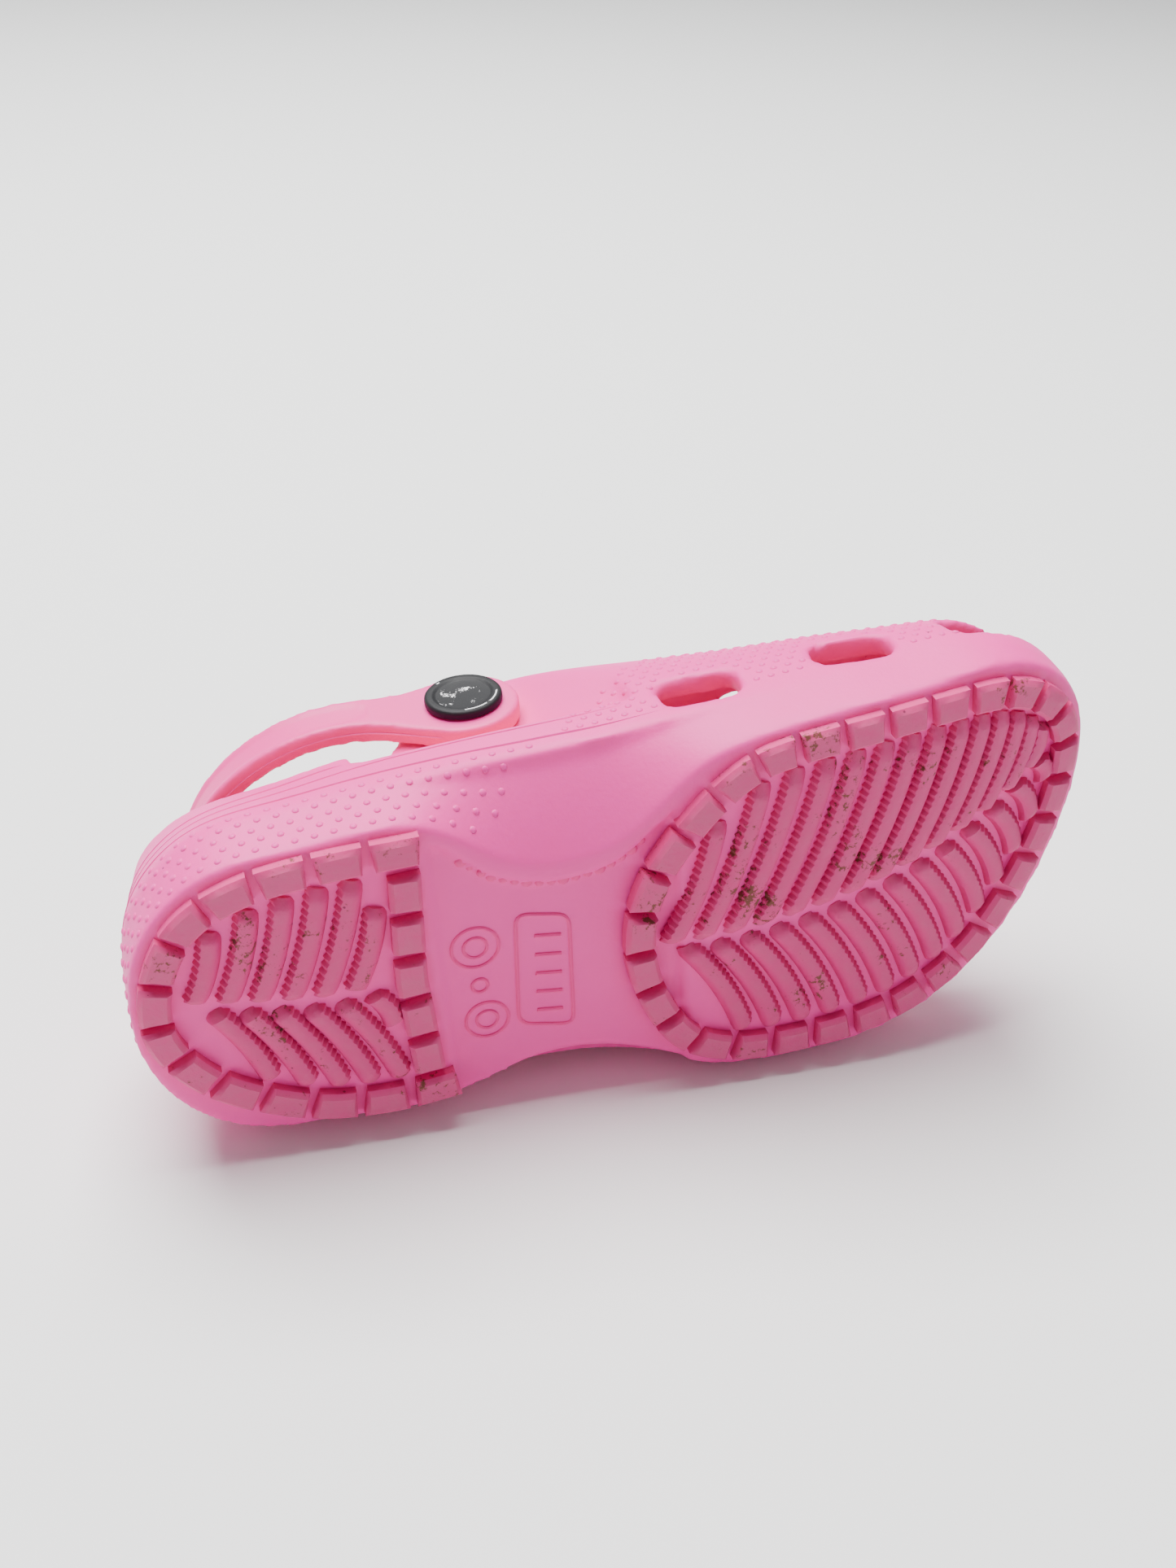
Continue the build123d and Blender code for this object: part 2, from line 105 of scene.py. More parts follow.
@dataclass(frozen=True)
class Pattern:
    """The clog's outline and heights, drawn in millimetres on a last with its heel at x = 4."""

    scale: Vector = field(default_factory=lambda: Vector((205 / 198.3, 90 / 87, 78 / 75.5)))
    middle: Vector = field(default_factory=lambda: Vector((103.15, 4.7, 0.0)))
    heel_x: float = 4.0
    toe_x: float = 202.3
    wide_z: float = 16.0
    lug: float = 2.9
    toe_spring: float = 9.3
    spring_start: float = 0.71
    foot_line: Table = ((4, 1.5), (40, 2), (75, 2.5), (105, 4), (140, 3.5), (170, 0), (190, -6),
                        (202.3, -12))
    rim_in: Table = ((34, 34.5), (60, 36.4), (92, 38.3), (124, 41.0), (150, 41.2), (170, 38.8))
    rim_out: Table = ((34, 33.2), (60, 35.8), (82, 36.2), (98, 38.2), (114, 42.0), (132, 44.4), (150, 45.0))
    collar: Table = ((2, 44.5), (12, 43.6), (24, 41.2), (36, 38.4), (48, 36.3), (57, 35.2), (62, 38.0))

    def at(self, x: float, y: float, z: float) -> Vector:
        """Place of a pattern point in the row frame, in metres."""
        p = Vector((x, y, z)) - self.middle
        return Vector((p.x * self.scale.x, p.y * self.scale.y, p.z * self.scale.z)) * MM

    def underside(self, x: float) -> float:
        """Height of the tread's ground face over the floor at a row-frame x, in metres."""
        length = 205.0
        start = (self.spring_start - 0.5) * length
        run = length / 2 - start
        radius = (run ** 2 + self.toe_spring ** 2) / (2 * self.toe_spring)
        reach = min(max(x / MM - start, 0.0), radius * 0.9)
        return (radius - math.sqrt(radius ** 2 - reach ** 2)) * MM

    def rim(self, x: float, side: Side) -> float:
        """Y of the widest line at a pattern x, in pattern millimetres."""
        table = self.rim_in if side is Side.INNER else self.rim_out
        width = smooth(table, x)
        toe_start = 170.0 if side is Side.INNER else 150.0
        power, reach = 2.15, 0.0
        if x < 34.0:
            reach = (34.0 - x) / (34.0 - self.heel_x)
        elif x > toe_start:
            reach = (x - toe_start) / (self.toe_x - toe_start)
            power = 1.82 if side is Side.INNER else 1.95
        share = (1 - min(reach, 1.0) ** power) ** (1 / power)
        return smooth(self.foot_line, x) + side.value * width * share

    def rim_loop(self, steps: int = 900) -> list[Vector]:
        """Even points of the closed widest line, from the heel along the inner side and back."""
        middle, half = (self.heel_x + self.toe_x) / 2, (self.toe_x - self.heel_x) / 2
        ring = []
        for i in range(steps):
            turn = 2 * math.pi * i / steps
            x = middle - half * math.cos(turn)
            ring.append(self.at(x, self.rim(x, Side.INNER if turn < math.pi else Side.OUTER), self.wide_z))
        return even(ring, steps, closed=True)


def even(points: Sequence[Vector], count: int, closed: bool = False) -> list[Vector]:
    """Points spaced evenly along a line.

    Args:
        points: The line's corners, close together.
        count: How many points to return.
        closed: Whether the line joins its own start.

    Returns:
        The points; a closed line's last one stops a step before its first.
    """
    line = list(points) + ([points[0]] if closed else [])
    runs = [0.0]
    for a, b in zip(line, line[1:]):
        runs.append(runs[-1] + (b - a).length)
    made, k = [], 0
    for i in range(count):
        d = runs[-1] * i / (count if closed else count - 1)
        while k < len(runs) - 2 and runs[k + 1] < d:
            k += 1
        t = (d - runs[k]) / max(runs[k + 1] - runs[k], 1e-12)
        made.append(line[k].lerp(line[k + 1], min(t, 1.0)))
    return made


def calm(points: Sequence[Vector], reach: int = 5) -> list[Vector]:
    """An open line with small ripples averaged out over reach points each way."""
    made = []
    for i in range(len(points)):
        span = min(reach, i, len(points) - 1 - i)
        near = points[i - span:i + span + 1]
        made.append(sum(near, Vector()) / len(near))
    return made


def curve_through(points: Sequence[Vector], closed: bool = True, fine: int = 24) -> list[Vector]:
    """Dense points of the smooth curve through a few points."""
    n, made = len(points), []
    for i in range(n if closed else n - 1):
        p = [points[(i + k) % n] if closed else points[min(max(i + k, 0), n - 1)] for k in (-1, 0, 1, 2)]
        for j in range(fine):
            t = j / fine
            made.append(0.5 * (2 * p[1] + (p[2] - p[0]) * t
                               + (2 * p[0] - 5 * p[1] + 4 * p[2] - p[3]) * t * t
                               + (3 * p[1] - p[0] - 3 * p[2] + p[3]) * t ** 3))
    if not closed:
        made.append(points[-1].copy())
    return made


# --------------------------------------------------------------------------- mesh helpers


def finish_piece(name: str, bm: bmesh.types.BMesh, material: bpy.types.Material, body: str,
                 flat: float = 40.0) -> bpy.types.Object:
    """Turn a bmesh into a piece that rides on a CAD body.

    Args:
        name: The piece's name.
        bm: Its shape, freed here.
        material: Its finish.
        body: The CAD body that carries it.
        flat: Edges sharper than this many degrees stay sharp.

    Returns:
        The new object.
    """
    mesh = bpy.data.meshes.new(name)
    for face in bm.faces:
        face.smooth = True
    for edge in bm.edges:
        edge.smooth = not (len(edge.link_faces) == 2 and edge.calc_face_angle(0.0) > math.radians(flat))
    bm.to_mesh(mesh)
    bm.free()
    piece = bpy.data.objects.new(name, mesh)
    bpy.context.scene.collection.objects.link(piece)
    mesh.materials.append(material)
    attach(piece, body)
    LOG.info("%s: %d faces", name, len(mesh.polygons))
    return piece


def merged_solid(nodes: Sequence[str], voxel: float, passes: int,
                 tuck: Callable[[str, Vector], Vector] | None = None) -> bmesh.types.BMesh:
    """One soft-edged skin round the copies of some CAD nodes.

    Args:
        nodes: The nodes whose shapes are joined.
        voxel: Size of the new skin's mesh.
        passes: How many times the skin is smoothed.
        tuck: Moves a corner of a named node before joining, so that neighbours overlap.

    Returns:
        The skin.
    """
    bm = bmesh.new()
    for name in nodes:
        part = bmesh.new()
        part.from_mesh(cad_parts[name].data)
        for vert in part.verts:
            vert.co = tuck(name, vert.co.copy()) if tuck else vert.co
        copy = bpy.data.meshes.new("copy")
        part.to_mesh(copy)
        part.free()
        bm.from_mesh(copy)
        bpy.data.meshes.remove(copy)
    bmesh.ops.remove_doubles(bm, verts=bm.verts[:], dist=1e-6)
    mesh = bpy.data.meshes.new("merge")
    bm.to_mesh(mesh)
    bm.free()
    helper = bpy.data.objects.new("merge", mesh)
    bpy.context.scene.collection.objects.link(helper)
    remesh = helper.modifiers.new("skin", "REMESH")
    remesh.mode = "VOXEL"
    remesh.voxel_size = voxel
    result = bpy.data.meshes.new_from_object(helper.evaluated_get(bpy.context.evaluated_depsgraph_get()))
    bpy.data.objects.remove(helper)
    bpy.data.meshes.remove(mesh)
    skin = bmesh.new()
    skin.from_mesh(result)
    bpy.data.meshes.remove(result)
    for _ in range(passes):
        bmesh.ops.smooth_vert(skin, verts=skin.verts[:], factor=0.5, use_axis_x=True, use_axis_y=True,
                              use_axis_z=True)
    return skin


def sweep(bm: bmesh.types.BMesh, path: Sequence[Vector], radii: Sequence[float], sides: int = 6,
          closed: bool = False, up: Vector | None = None) -> None:
    """Extrude a small round section along a path, into an open bmesh.

    Args:
        bm: The bmesh that takes the bead.
        path: Centre points.
        radii: The section's radius at each point.
        sides: Corners of the section.
        closed: Whether the bead joins its own start.
        up: A direction never parallel to the path.
    """
    guide = up or Vector((0, 0, 1))
    count = len(path)
    loops: list[list[bmesh.types.BMVert]] = []
    for i, point in enumerate(path):
        ahead = path[(i + 1) % count] if closed else path[min(i + 1, count - 1)]
        behind = path[i - 1] if closed else path[max(i - 1, 0)]
        along = (ahead - behind).normalized()
        side = along.cross(guide).normalized()
        turn = Matrix((side, along.cross(side), along)).transposed().to_4x4()
        made = bmesh.ops.create_circle(bm, cap_ends=False, segments=sides, radius=radii[i],
                                       matrix=Matrix.Translation(point) @ turn)
        loops.append(made["verts"])
    pairs = list(zip(loops, loops[1:])) + ([(loops[-1], loops[0])] if closed else [])
    for a, b in pairs:
        ring = {e for loop in (a, b) for v in loop for e in v.link_edges if e.other_vert(v) in loop}
        bmesh.ops.bridge_loops(bm, edges=list(ring))
    if not closed:
        for loop in (loops[0], loops[-1]):
            bmesh.ops.contextual_create(bm, geom=loop)


def lathe(profile: Table, centre: Vector, steps: int = 56) -> bmesh.types.BMesh:
    """Spin an outline about an axis along Y.

    Args:
        profile: Rows of (radius, y) in metres, from the axis round to the axis.
        centre: A point on the axis.
        steps: Facets round the turn.

    Returns:
        The closed solid.
    """
    bm = bmesh.new()
    verts = [bm.verts.new((centre.x + radius, y, centre.z)) for radius, y in profile]
    edges = [bm.edges.new(pair) for pair in zip(verts, verts[1:])]
    bmesh.ops.spin(bm, geom=verts + edges, cent=centre, axis=(0, 1, 0), angle=2 * math.pi, steps=steps,
                   use_merge=True)
    bmesh.ops.remove_doubles(bm, verts=bm.verts[:], dist=2e-6)
    bmesh.ops.recalc_face_normals(bm, faces=bm.faces[:])
    return bm


def relief(bm: bmesh.types.BMesh, columns: int, rows: int, place: Callable[[float, float], Vector],
           root: Callable[[Vector], float], wear: Callable[[float, float], float]) -> None:
    """A closed raised shape: a mapped grid whose copy is pulled up into the sole.

    Args:
        bm: The bmesh that takes the shape.
        columns: Faces along it.
        rows: Faces across it.
        place: Maps shares (along, across) to a point of the ground side.
        root: Height of the hidden side at a point.
        wear: Share of wear at (along, across), kept in the wear attribute.
    """
    layer = bm.verts.layers.float.get("wear") or bm.verts.layers.float.new("wear")
    made = bmesh.ops.create_grid(bm, x_segments=columns, y_segments=rows, size=0.5)["verts"]
    faces = list({f for v in made for f in v.link_faces})
    for vert in made:
        u, v = vert.co.x + 0.5, vert.co.y + 0.5
        vert.co = place(u, v)
        vert[layer] = wear(u, v)
    top = bmesh.ops.extrude_face_region(bm, geom=faces)["geom"]
    lifted = [g for g in top if isinstance(g, bmesh.types.BMVert)]
    for vert in lifted:
        vert.co.z = root(vert.co)
        vert[layer] = 0.0


# --------------------------------------------------------------------------- finishes


class NodeBook:
    """Shader node groups that more than one finish uses, each built once."""

    def __init__(self) -> None:
        """Start with no groups."""
        self.groups: dict[str, bpy.types.NodeTree] = {}

    def group(self, name: str, inputs: Sequence[tuple[str, str, float]], outputs: Sequence[tuple[str, str]]
              ) -> tuple[bpy.types.NodeTree, bpy.types.Node, bpy.types.Node]:
        """Start a group with its sockets.

        Args:
            name: The group's name.
            inputs: Name, socket type and default of each input.
            outputs: Name and socket type of each output.

        Returns:
            The tree, its input node and its output node.
        """
        tree = bpy.data.node_groups.new(name, "ShaderNodeTree")
        for label, kind, value in inputs:
            socket = tree.interface.new_socket(label, in_out="INPUT", socket_type=kind)
            if kind == "NodeSocketFloat":
                socket.default_value = value
        for label, kind in outputs:
            tree.interface.new_socket(label, in_out="OUTPUT", socket_type=kind)
        self.groups[name] = tree
        return tree, tree.nodes.new("NodeGroupInput"), tree.nodes.new("NodeGroupOutput")

    def foam_grain(self) -> bpy.types.NodeTree:
        """Orange-peel height of moulded foam and a mask of its tiny open pits."""
        if "foam_grain" in self.groups:
            return self.groups["foam_grain"]
        tree, source, sink = self.group(
            "foam_grain",
            [("Vector", "NodeSocketVector", 0), ("Grain Scale", "NodeSocketFloat", 900),
             ("Pit Scale", "NodeSocketFloat", 120), ("Pit Size", "NodeSocketFloat", 0.03)],
            [("Height", "NodeSocketFloat"), ("Pits", "NodeSocketFloat"), ("Mottle", "NodeSocketFloat")])
        fine = add_node(tree, "ShaderNodeTexNoise", {"Detail": 3.0, "Roughness": 0.6})
        tree.links.new(source.outputs["Vector"], fine.inputs["Vector"])
        tree.links.new(source.outputs["Grain Scale"], fine.inputs["Scale"])
        cells = add_node(tree, "ShaderNodeTexVoronoi", {})
        tree.links.new(source.outputs["Vector"], cells.inputs["Vector"])
        tree.links.new(source.outputs["Pit Scale"], cells.inputs["Scale"])
        pits = math_node(tree, "LESS_THAN", cells.outputs["Distance"], source.outputs["Pit Size"])
        dent = math_node(tree, "MULTIPLY", pits, -2.5)
        height = math_node(tree, "ADD", fine.outputs["Fac"], dent)
        broad = add_node(tree, "ShaderNodeTexNoise", {"Scale": 38.0, "Detail": 3.0})
        tree.links.new(source.outputs["Vector"], broad.inputs["Vector"])
        tree.links.new(height, sink.inputs["Height"])
        tree.links.new(pits, sink.inputs["Pits"])
        tree.links.new(broad.outputs["Fac"], sink.inputs["Mottle"])
        return tree

    def dirt(self) -> bpy.types.NodeTree:
        """Mask of dried-on dirt: sparse smears with a broken edge."""
        if "dirt" in self.groups:
            return self.groups["dirt"]
        tree, source, sink = self.group(
            "dirt",
            [("Vector", "NodeSocketVector", 0), ("Spread", "NodeSocketFloat", 70),
             ("Amount", "NodeSocketFloat", 0.3)],
            [("Mask", "NodeSocketFloat"), ("Film", "NodeSocketFloat")])
        where = add_node(tree, "ShaderNodeTexNoise", {"Detail": 2.0})
        tree.links.new(source.outputs["Vector"], where.inputs["Vector"])
        tree.links.new(source.outputs["Spread"], where.inputs["Scale"])
        crumbs = add_node(tree, "ShaderNodeTexNoise", {"Scale": 620.0, "Detail": 4.0, "Roughness": 0.7})
        tree.links.new(source.outputs["Vector"], crumbs.inputs["Vector"])
        both = math_node(tree, "MULTIPLY", where.outputs["Fac"], crumbs.outputs["Fac"])
        edge = math_node(tree, "SUBTRACT", both, source.outputs["Amount"])
        hard = math_node(tree, "MULTIPLY", edge, 22.0, clamp=True)
        film = add_node(tree, "ShaderNodeTexNoise", {"Scale": 240.0, "Detail": 5.0, "Roughness": 0.7})
        tree.links.new(source.outputs["Vector"], film.inputs["Vector"])
        tree.links.new(hard, sink.inputs["Mask"])
        tree.links.new(film.outputs["Fac"], sink.inputs["Film"])
        return tree


def add_node(tree: bpy.types.NodeTree, kind: str, values: dict[str, object]) -> bpy.types.Node:
    """Add a node and set its unlinked inputs by name."""
    node = tree.nodes.new(kind)
    for key, value in values.items():
        node.inputs[key].default_value = value
    return node


def place_group(tree: bpy.types.NodeTree, group: bpy.types.NodeTree, where: bpy.types.NodeSocket,
                values: dict[str, float]) -> bpy.types.Node:
    """Put a shared group into a material.

    Args:
        tree: The material's nodes.
        group: The shared group.
        where: The coordinates that the group reads.
        values: Its own values, by socket name.

    Returns:
        The group's node.
    """
    node = add_node(tree, "ShaderNodeGroup", {})
    node.node_tree = group
    for key, value in values.items():
        node.inputs[key].default_value = value
    tree.links.new(where, node.inputs["Vector"])
    return node


def math_node(tree: bpy.types.NodeTree, operation: str, first: object, second: object,
              clamp: bool = False) -> bpy.types.NodeSocket:
    """Combine two sockets or numbers.

    Args:
        tree: Where the node goes.
        operation: Blender's name for the sum.
        first: A socket or number.
        second: A socket or number.
        clamp: Whether the result is kept within 0 and 1.

    Returns:
        The output socket.
    """
    node = tree.nodes.new("ShaderNodeMath")
    node.operation = operation
    node.use_clamp = clamp
    for slot, value in zip(node.inputs, (first, second)):
        if isinstance(value, bpy.types.NodeSocket):
            tree.links.new(value, slot)
        else:
            slot.default_value = value
    return node.outputs[0]


def mix_colour(tree: bpy.types.NodeTree, share: object, first: object, second: object
               ) -> bpy.types.NodeSocket:
    """Blend two colours by a share; each may be a socket or a value."""
    node = tree.nodes.new("ShaderNodeMix")
    node.data_type = "RGBA"
    for slot, value in ((node.inputs[0], share), (node.inputs[6], first), (node.inputs[7], second)):
        if isinstance(value, bpy.types.NodeSocket):
            tree.links.new(value, slot)
        elif isinstance(value, tuple):
            slot.default_value = (*value, 1.0)
        else:
            slot.default_value = value
    return node.outputs[2]


@dataclass(frozen=True)
class FoamFinish:
    """Closed-cell foam as moulded, with optional wear on its ground faces and dirt."""

    name: str
    base: Rgb
    deep: Rgb
    worn: Rgb = (0.56, 0.072, 0.20)
    roughness: float = 0.52
    grain: float = 0.18
    pit_size: float = 0.032
    wear: bool = False
    dirt_amount: float = 0.0

    def build(self, book: NodeBook) -> bpy.types.Material:
        """Make the material.

        Args:
            book: The shared groups.

        Returns:
            The material.
        """
        material = bpy.data.materials.new(self.name)
        material.use_nodes = True
        tree = material.node_tree
        shader = tree.nodes["Principled BSDF"]
        where = tree.nodes.new("ShaderNodeTexCoord").outputs["Object"]
        grain = place_group(tree, book.foam_grain(), where,
                            {"Grain Scale": 950.0, "Pit Scale": 115.0, "Pit Size": self.pit_size})
        mottle = math_node(tree, "MULTIPLY", grain.outputs["Mottle"], 0.55, clamp=True)
        colour = mix_colour(tree, mottle, self.base, self.deep)
        if self.wear:
            reader = tree.nodes.new("ShaderNodeAttribute")
            reader.attribute_name = "wear"
            film = place_group(tree, book.dirt(), where, {"Spread": 55.0, "Amount": 0.9})
            patch = math_node(tree, "MULTIPLY", film.outputs["Film"], 1.5)
            rubbed = math_node(tree, "MULTIPLY", reader.outputs["Fac"], patch, clamp=True)
            colour = mix_colour(tree, rubbed, colour, self.worn)
        if self.dirt_amount > 0:
            soil = place_group(tree, book.dirt(), where, {"Spread": 62.0, "Amount": self.dirt_amount})
            colour = mix_colour(tree, soil.outputs["Mask"], colour, (0.16, 0.045, 0.03))
        dark = math_node(tree, "MULTIPLY", grain.outputs["Pits"], 0.75)
        colour = mix_colour(tree, dark, colour, (0.10, 0.015, 0.03))
        bump = add_node(tree, "ShaderNodeBump", {"Strength": self.grain, "Distance": 0.0004})
        tree.links.new(grain.outputs["Height"], bump.inputs["Height"])
        tree.links.new(colour, shader.inputs["Base Color"])
        tree.links.new(bump.outputs["Normal"], shader.inputs["Normal"])
        rough = math_node(tree, "MULTIPLY", grain.outputs["Mottle"], 0.16)
        rough = math_node(tree, "ADD", rough, self.roughness - 0.08)
        tree.links.new(rough, shader.inputs["Roughness"])
        shader.inputs["Specular IOR Level"].default_value = 0.35
        shader.inputs["Subsurface Weight"].default_value = 0.12
        shader.inputs["Subsurface Scale"].default_value = 0.004
        shader.inputs["Subsurface Radius"].default_value = (1.0, 0.3, 0.4)
        return material


@dataclass(frozen=True)
class RivetFinish:
    """Black snap-rivet plastic with a rubbed ring and pale scratch flecks."""

    name: str = "rivet_plastic"
    centre: tuple[float, float, float] = (-0.0239, 0.0, 0.0465)
    ring: float = 0.0071

    def build(self, book: NodeBook) -> bpy.types.Material:
        """Make the material from the shared groups."""
        material = bpy.data.materials.new(self.name)
        material.use_nodes = True
        tree = material.node_tree
        shader = tree.nodes["Principled BSDF"]
        where = tree.nodes.new("ShaderNodeTexCoord").outputs["Object"]
        shift = tree.nodes.new("ShaderNodeMapping")
        shift.inputs["Location"].default_value = tuple(-c for c in self.centre)
        tree.links.new(where, shift.inputs["Vector"])
        split = tree.nodes.new("ShaderNodeSeparateXYZ")
        tree.links.new(shift.outputs["Vector"], split.inputs[0])
        squares = [math_node(tree, "POWER", math_node(tree, "ABSOLUTE", split.outputs[k], 0.0), 2.0)
                   for k in ("X", "Z")]
        radius = math_node(tree, "SQRT", math_node(tree, "ADD", *squares), 0.0)
        off = math_node(tree, "ABSOLUTE", math_node(tree, "SUBTRACT", radius, self.ring), 0.0)
        line = math_node(tree, "LESS_THAN", off, 0.00016)
        patch = add_node(tree, "ShaderNodeTexNoise", {"Scale": 150.0, "Detail": 2.0})
        tree.links.new(where, patch.inputs["Vector"])
        seen = math_node(tree, "GREATER_THAN", patch.outputs["Fac"], 0.5)
        ring = math_node(tree, "MULTIPLY", line, seen)
        chips = add_node(tree, "ShaderNodeTexNoise", {"Scale": 1100.0, "Detail": 4.0, "Roughness": 0.75,
                                                      "Distortion": 1.2})
        tree.links.new(where, chips.inputs["Vector"])
        area = add_node(tree, "ShaderNodeTexNoise", {"Scale": 260.0, "Detail": 1.0})
        tree.links.new(where, area.inputs["Vector"])
        fleck = math_node(tree, "MULTIPLY", chips.outputs["Fac"], area.outputs["Fac"])
        fleck = math_node(tree, "GREATER_THAN", fleck, 0.355)
        inside = math_node(tree, "LESS_THAN", radius, 0.0058)
        fleck = math_node(tree, "MULTIPLY", fleck, inside)
        mask = math_node(tree, "MAXIMUM", ring, fleck)
        grey = mix_colour(tree, patch.outputs["Fac"], (0.004, 0.004, 0.005), (0.012, 0.012, 0.014))
        tree.links.new(mix_colour(tree, mask, grey, (0.75, 0.73, 0.74)), shader.inputs["Base Color"])
        grain = place_group(tree, book.foam_grain(), where, {"Grain Scale": 2600.0, "Pit Size": 0.0})
        bump = add_node(tree, "ShaderNodeBump", {"Strength": 0.25, "Distance": 0.0002})
        tree.links.new(grain.outputs["Height"], bump.inputs["Height"])
        tree.links.new(bump.outputs["Normal"], shader.inputs["Normal"])
        rough = math_node(tree, "MULTIPLY", patch.outputs["Fac"], 0.3)
        tree.links.new(math_node(tree, "ADD", rough, 0.42), shader.inputs["Roughness"])
        shader.inputs["Specular IOR Level"].default_value = 0.3
        return material


# --------------------------------------------------------------------------- the moulded body


@dataclass
class FoamBody:
    """The one-piece moulded body: skin, nub bands, parting lines and underside marks."""

    pattern: Pattern
    finish: bpy.types.Material
    voxel: float = 1.08 * MM
    nub_radius: float = 0.8 * MM
    nub_height: float = 0.36 * MM
    pivot: Vector = field(default_factory=lambda: Vector((-23.9, 0.0, 46.5)) * MM)
    upper_base: float = 16.55 * MM
    overlap: float = 2.5 * MM
    seat_radius: float = 12.3 * MM
    seat_passes: int = 4
    seat_front: float = 12.2 * MM
    seat_out: float = 18 * MM
    seat_heights: tuple[float, float] = (24 * MM, 66 * MM)
    ramp_back: float = 24 * MM
    ramp_run: float = 26 * MM
    arch_depth: float = 1.3 * MM
    arch_top: float = 9 * MM
    arch_facing: float = -0.25
    arch_ends: tuple[float, float] = (62.5, 112.0)
    lip_run: float = 1.1
    end_run: float = 1.5
    arch_lip: Table = ((62, -27.5), (66.7, -24.6), (74.3, -17.1), (81.8, -13.6), (89.7, -12.4),
                       (99.5, -14.2), (108.3, -20.5), (113, -24))
    band_rows: int = 5
    band_low: float = 5.6
    side_rows: int = 13
    side_low: float = 20.0
    row_step: float = 2.75
    footbed_top: float = 19.7 * MM
    joint_x: float = 0.0
    tree: BVHTree | None = None

    def tuck(self, name: str, co: Vector) -> Vector:
        """Push a node's joining faces into its neighbour."""
        if name in ("vamp_upper", "heel_cup", "footbed") and co.z < self.upper_base:
            co.z -= self.overlap
        if name == "heel_cup" and co.x > self.joint_x - 0.02 * MM:
            co.x += 1.5 * MM
        return co

    def build_skin(self) -> bpy.types.Object:
        """Make the outer and inner skin of the body, with softened seats and edges."""
        self.joint_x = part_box("heel_cup")[1].x
        bm = merged_solid(["sole", "footbed", "vamp_upper", "heel_cup"], self.voxel, 2, self.tuck)
        front = self.pivot.x + self.seat_front
        low, high = self.seat_heights
        ramp = [v for v in bm.verts if abs(v.co.y) > self.seat_out and low < v.co.z < high
                and self.pivot.x - self.ramp_back < v.co.x < front + self.ramp_run
                and math.hypot(v.co.x - self.pivot.x, v.co.z - self.pivot.z) > self.seat_radius]
        for _ in range(self.seat_passes):
            bmesh.ops.smooth_vert(bm, verts=ramp, factor=0.5, use_axis_x=True, use_axis_y=True,
                                  use_axis_z=True)
        self.hollow_arch(bm)
        self.tree = BVHTree.FromBMesh(bm)
        piece = finish_piece("foam_body", bm, self.finish, "clog_body", flat=75)
        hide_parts("sole", "footbed", "vamp_upper", "heel_cup")
        return piece

    def hollow_arch(self, bm: bmesh.types.BMesh) -> None:
        """Sink the waist of the underside inside a curved lip.

        Args:
            bm: The body's skin, changed in place.
        """
        bm.normal_update()
        p = self.pattern
        for vert in bm.verts:
            if vert.co.z > self.arch_top or vert.normal.z > self.arch_facing:
                continue
            x = vert.co.x / MM / p.scale.x + p.middle.x
            y = vert.co.y / MM / p.scale.y + p.middle.y
            ends = min(x - self.arch_ends[0], self.arch_ends[1] - x)
            if ends > 0:
                inside = (y - smooth(self.arch_lip, x)) / self.lip_run
                share = min(max(min(inside, ends / self.end_run), 0.0), 1.0)
                vert.co.z += self.arch_depth * share

    def hit(self, start: Vector, way: Vector, reach: float) -> tuple[Vector, Vector] | None:
        """First touch of a ray on the skin, as (point, normal), or None past reach."""
        assert self.tree is not None
        point, normal, _, _ = self.tree.ray_cast(start, way.normalized(), reach)
        return None if point is None else (point, normal)

    def wall(self, loop: Sequence[Vector], index: int, z: float) -> tuple[Vector, Vector] | None:
        """Point and normal of the outer wall over a place on the widest line."""
        n = len(loop)
        along = loop[(index + 4) % n] - loop[index - 4]
        out = Vector((along.y, -along.x, 0)).normalized()
        if out.dot(loop[index]) < 0 and abs(loop[index].x) > 60 * MM:
            out = -out
        start = Vector((loop[index].x, loop[index].y, z)) + out * 12 * MM
        return self.hit(start, -out, 36 * MM)

    def nub_places(self) -> list[tuple[Vector, Vector]]:
        """Where the raised dots sit on the heel band and the forefoot sides."""
        places = []
        loop = self.pattern.rim_loop(680)
        count = len(loop)
        step = 5
        for row in range(self.band_rows):
            z = (self.band_low + self.row_step * row) * MM
            for i in range(0, count, step):
                k = (i + (step // 2 if row % 2 else 0)) % count
                limit = -16 * MM - (4 - row) * 3.0 * MM
                if loop[k].x < limit:
                    found = self.wall(loop, k, z)
                    if found:
                        places.append(found)
        for side in Side:
            for row in range(self.side_rows):
                z = (self.side_low + self.row_step * row) * MM
                for col in range(30):
                    x = (-8.5 + 3.1 * col + (1.55 if row % 2 else 0.0)) * MM
                    low = 19.0 * MM if x < 12 * MM else 17.0 * MM
                    high = (24.0 * MM + (x + 10 * MM) * 0.95)
                    high = min(high, (50 - 0.25 * max(x / MM - 20, 0)) * MM)
                    if not low <= z <= high:
                        continue
                    start = Vector((x, side.value * 60 * MM, z))
                    found = self.hit(start, Vector((0, -side.value, 0)), 60 * MM)
                    if found and found[1].y * side.value > 0.3 and self.clear(found[0], side):
                        places.append(found)
        return places

    def clear(self, point: Vector, side: Side) -> bool:
        """Whether a dot at a point keeps off the vents and the strap's seat."""
        if math.hypot(point.x - self.pivot.x, point.z - self.pivot.z) < 14.5 * MM:
            return False
        for dx, dz in ((2.4, 0), (-2.4, 0), (0, 2.4), (0, -2.4)):
            probe = self.hit(Vector((point.x + dx * MM, side.value * 60 * MM, point.z + dz * MM)),
                             Vector((0, -side.value, 0)), 70 * MM)
            if not probe or abs(probe[0].y - point.y) > 3.2 * MM:
                return False
        return True

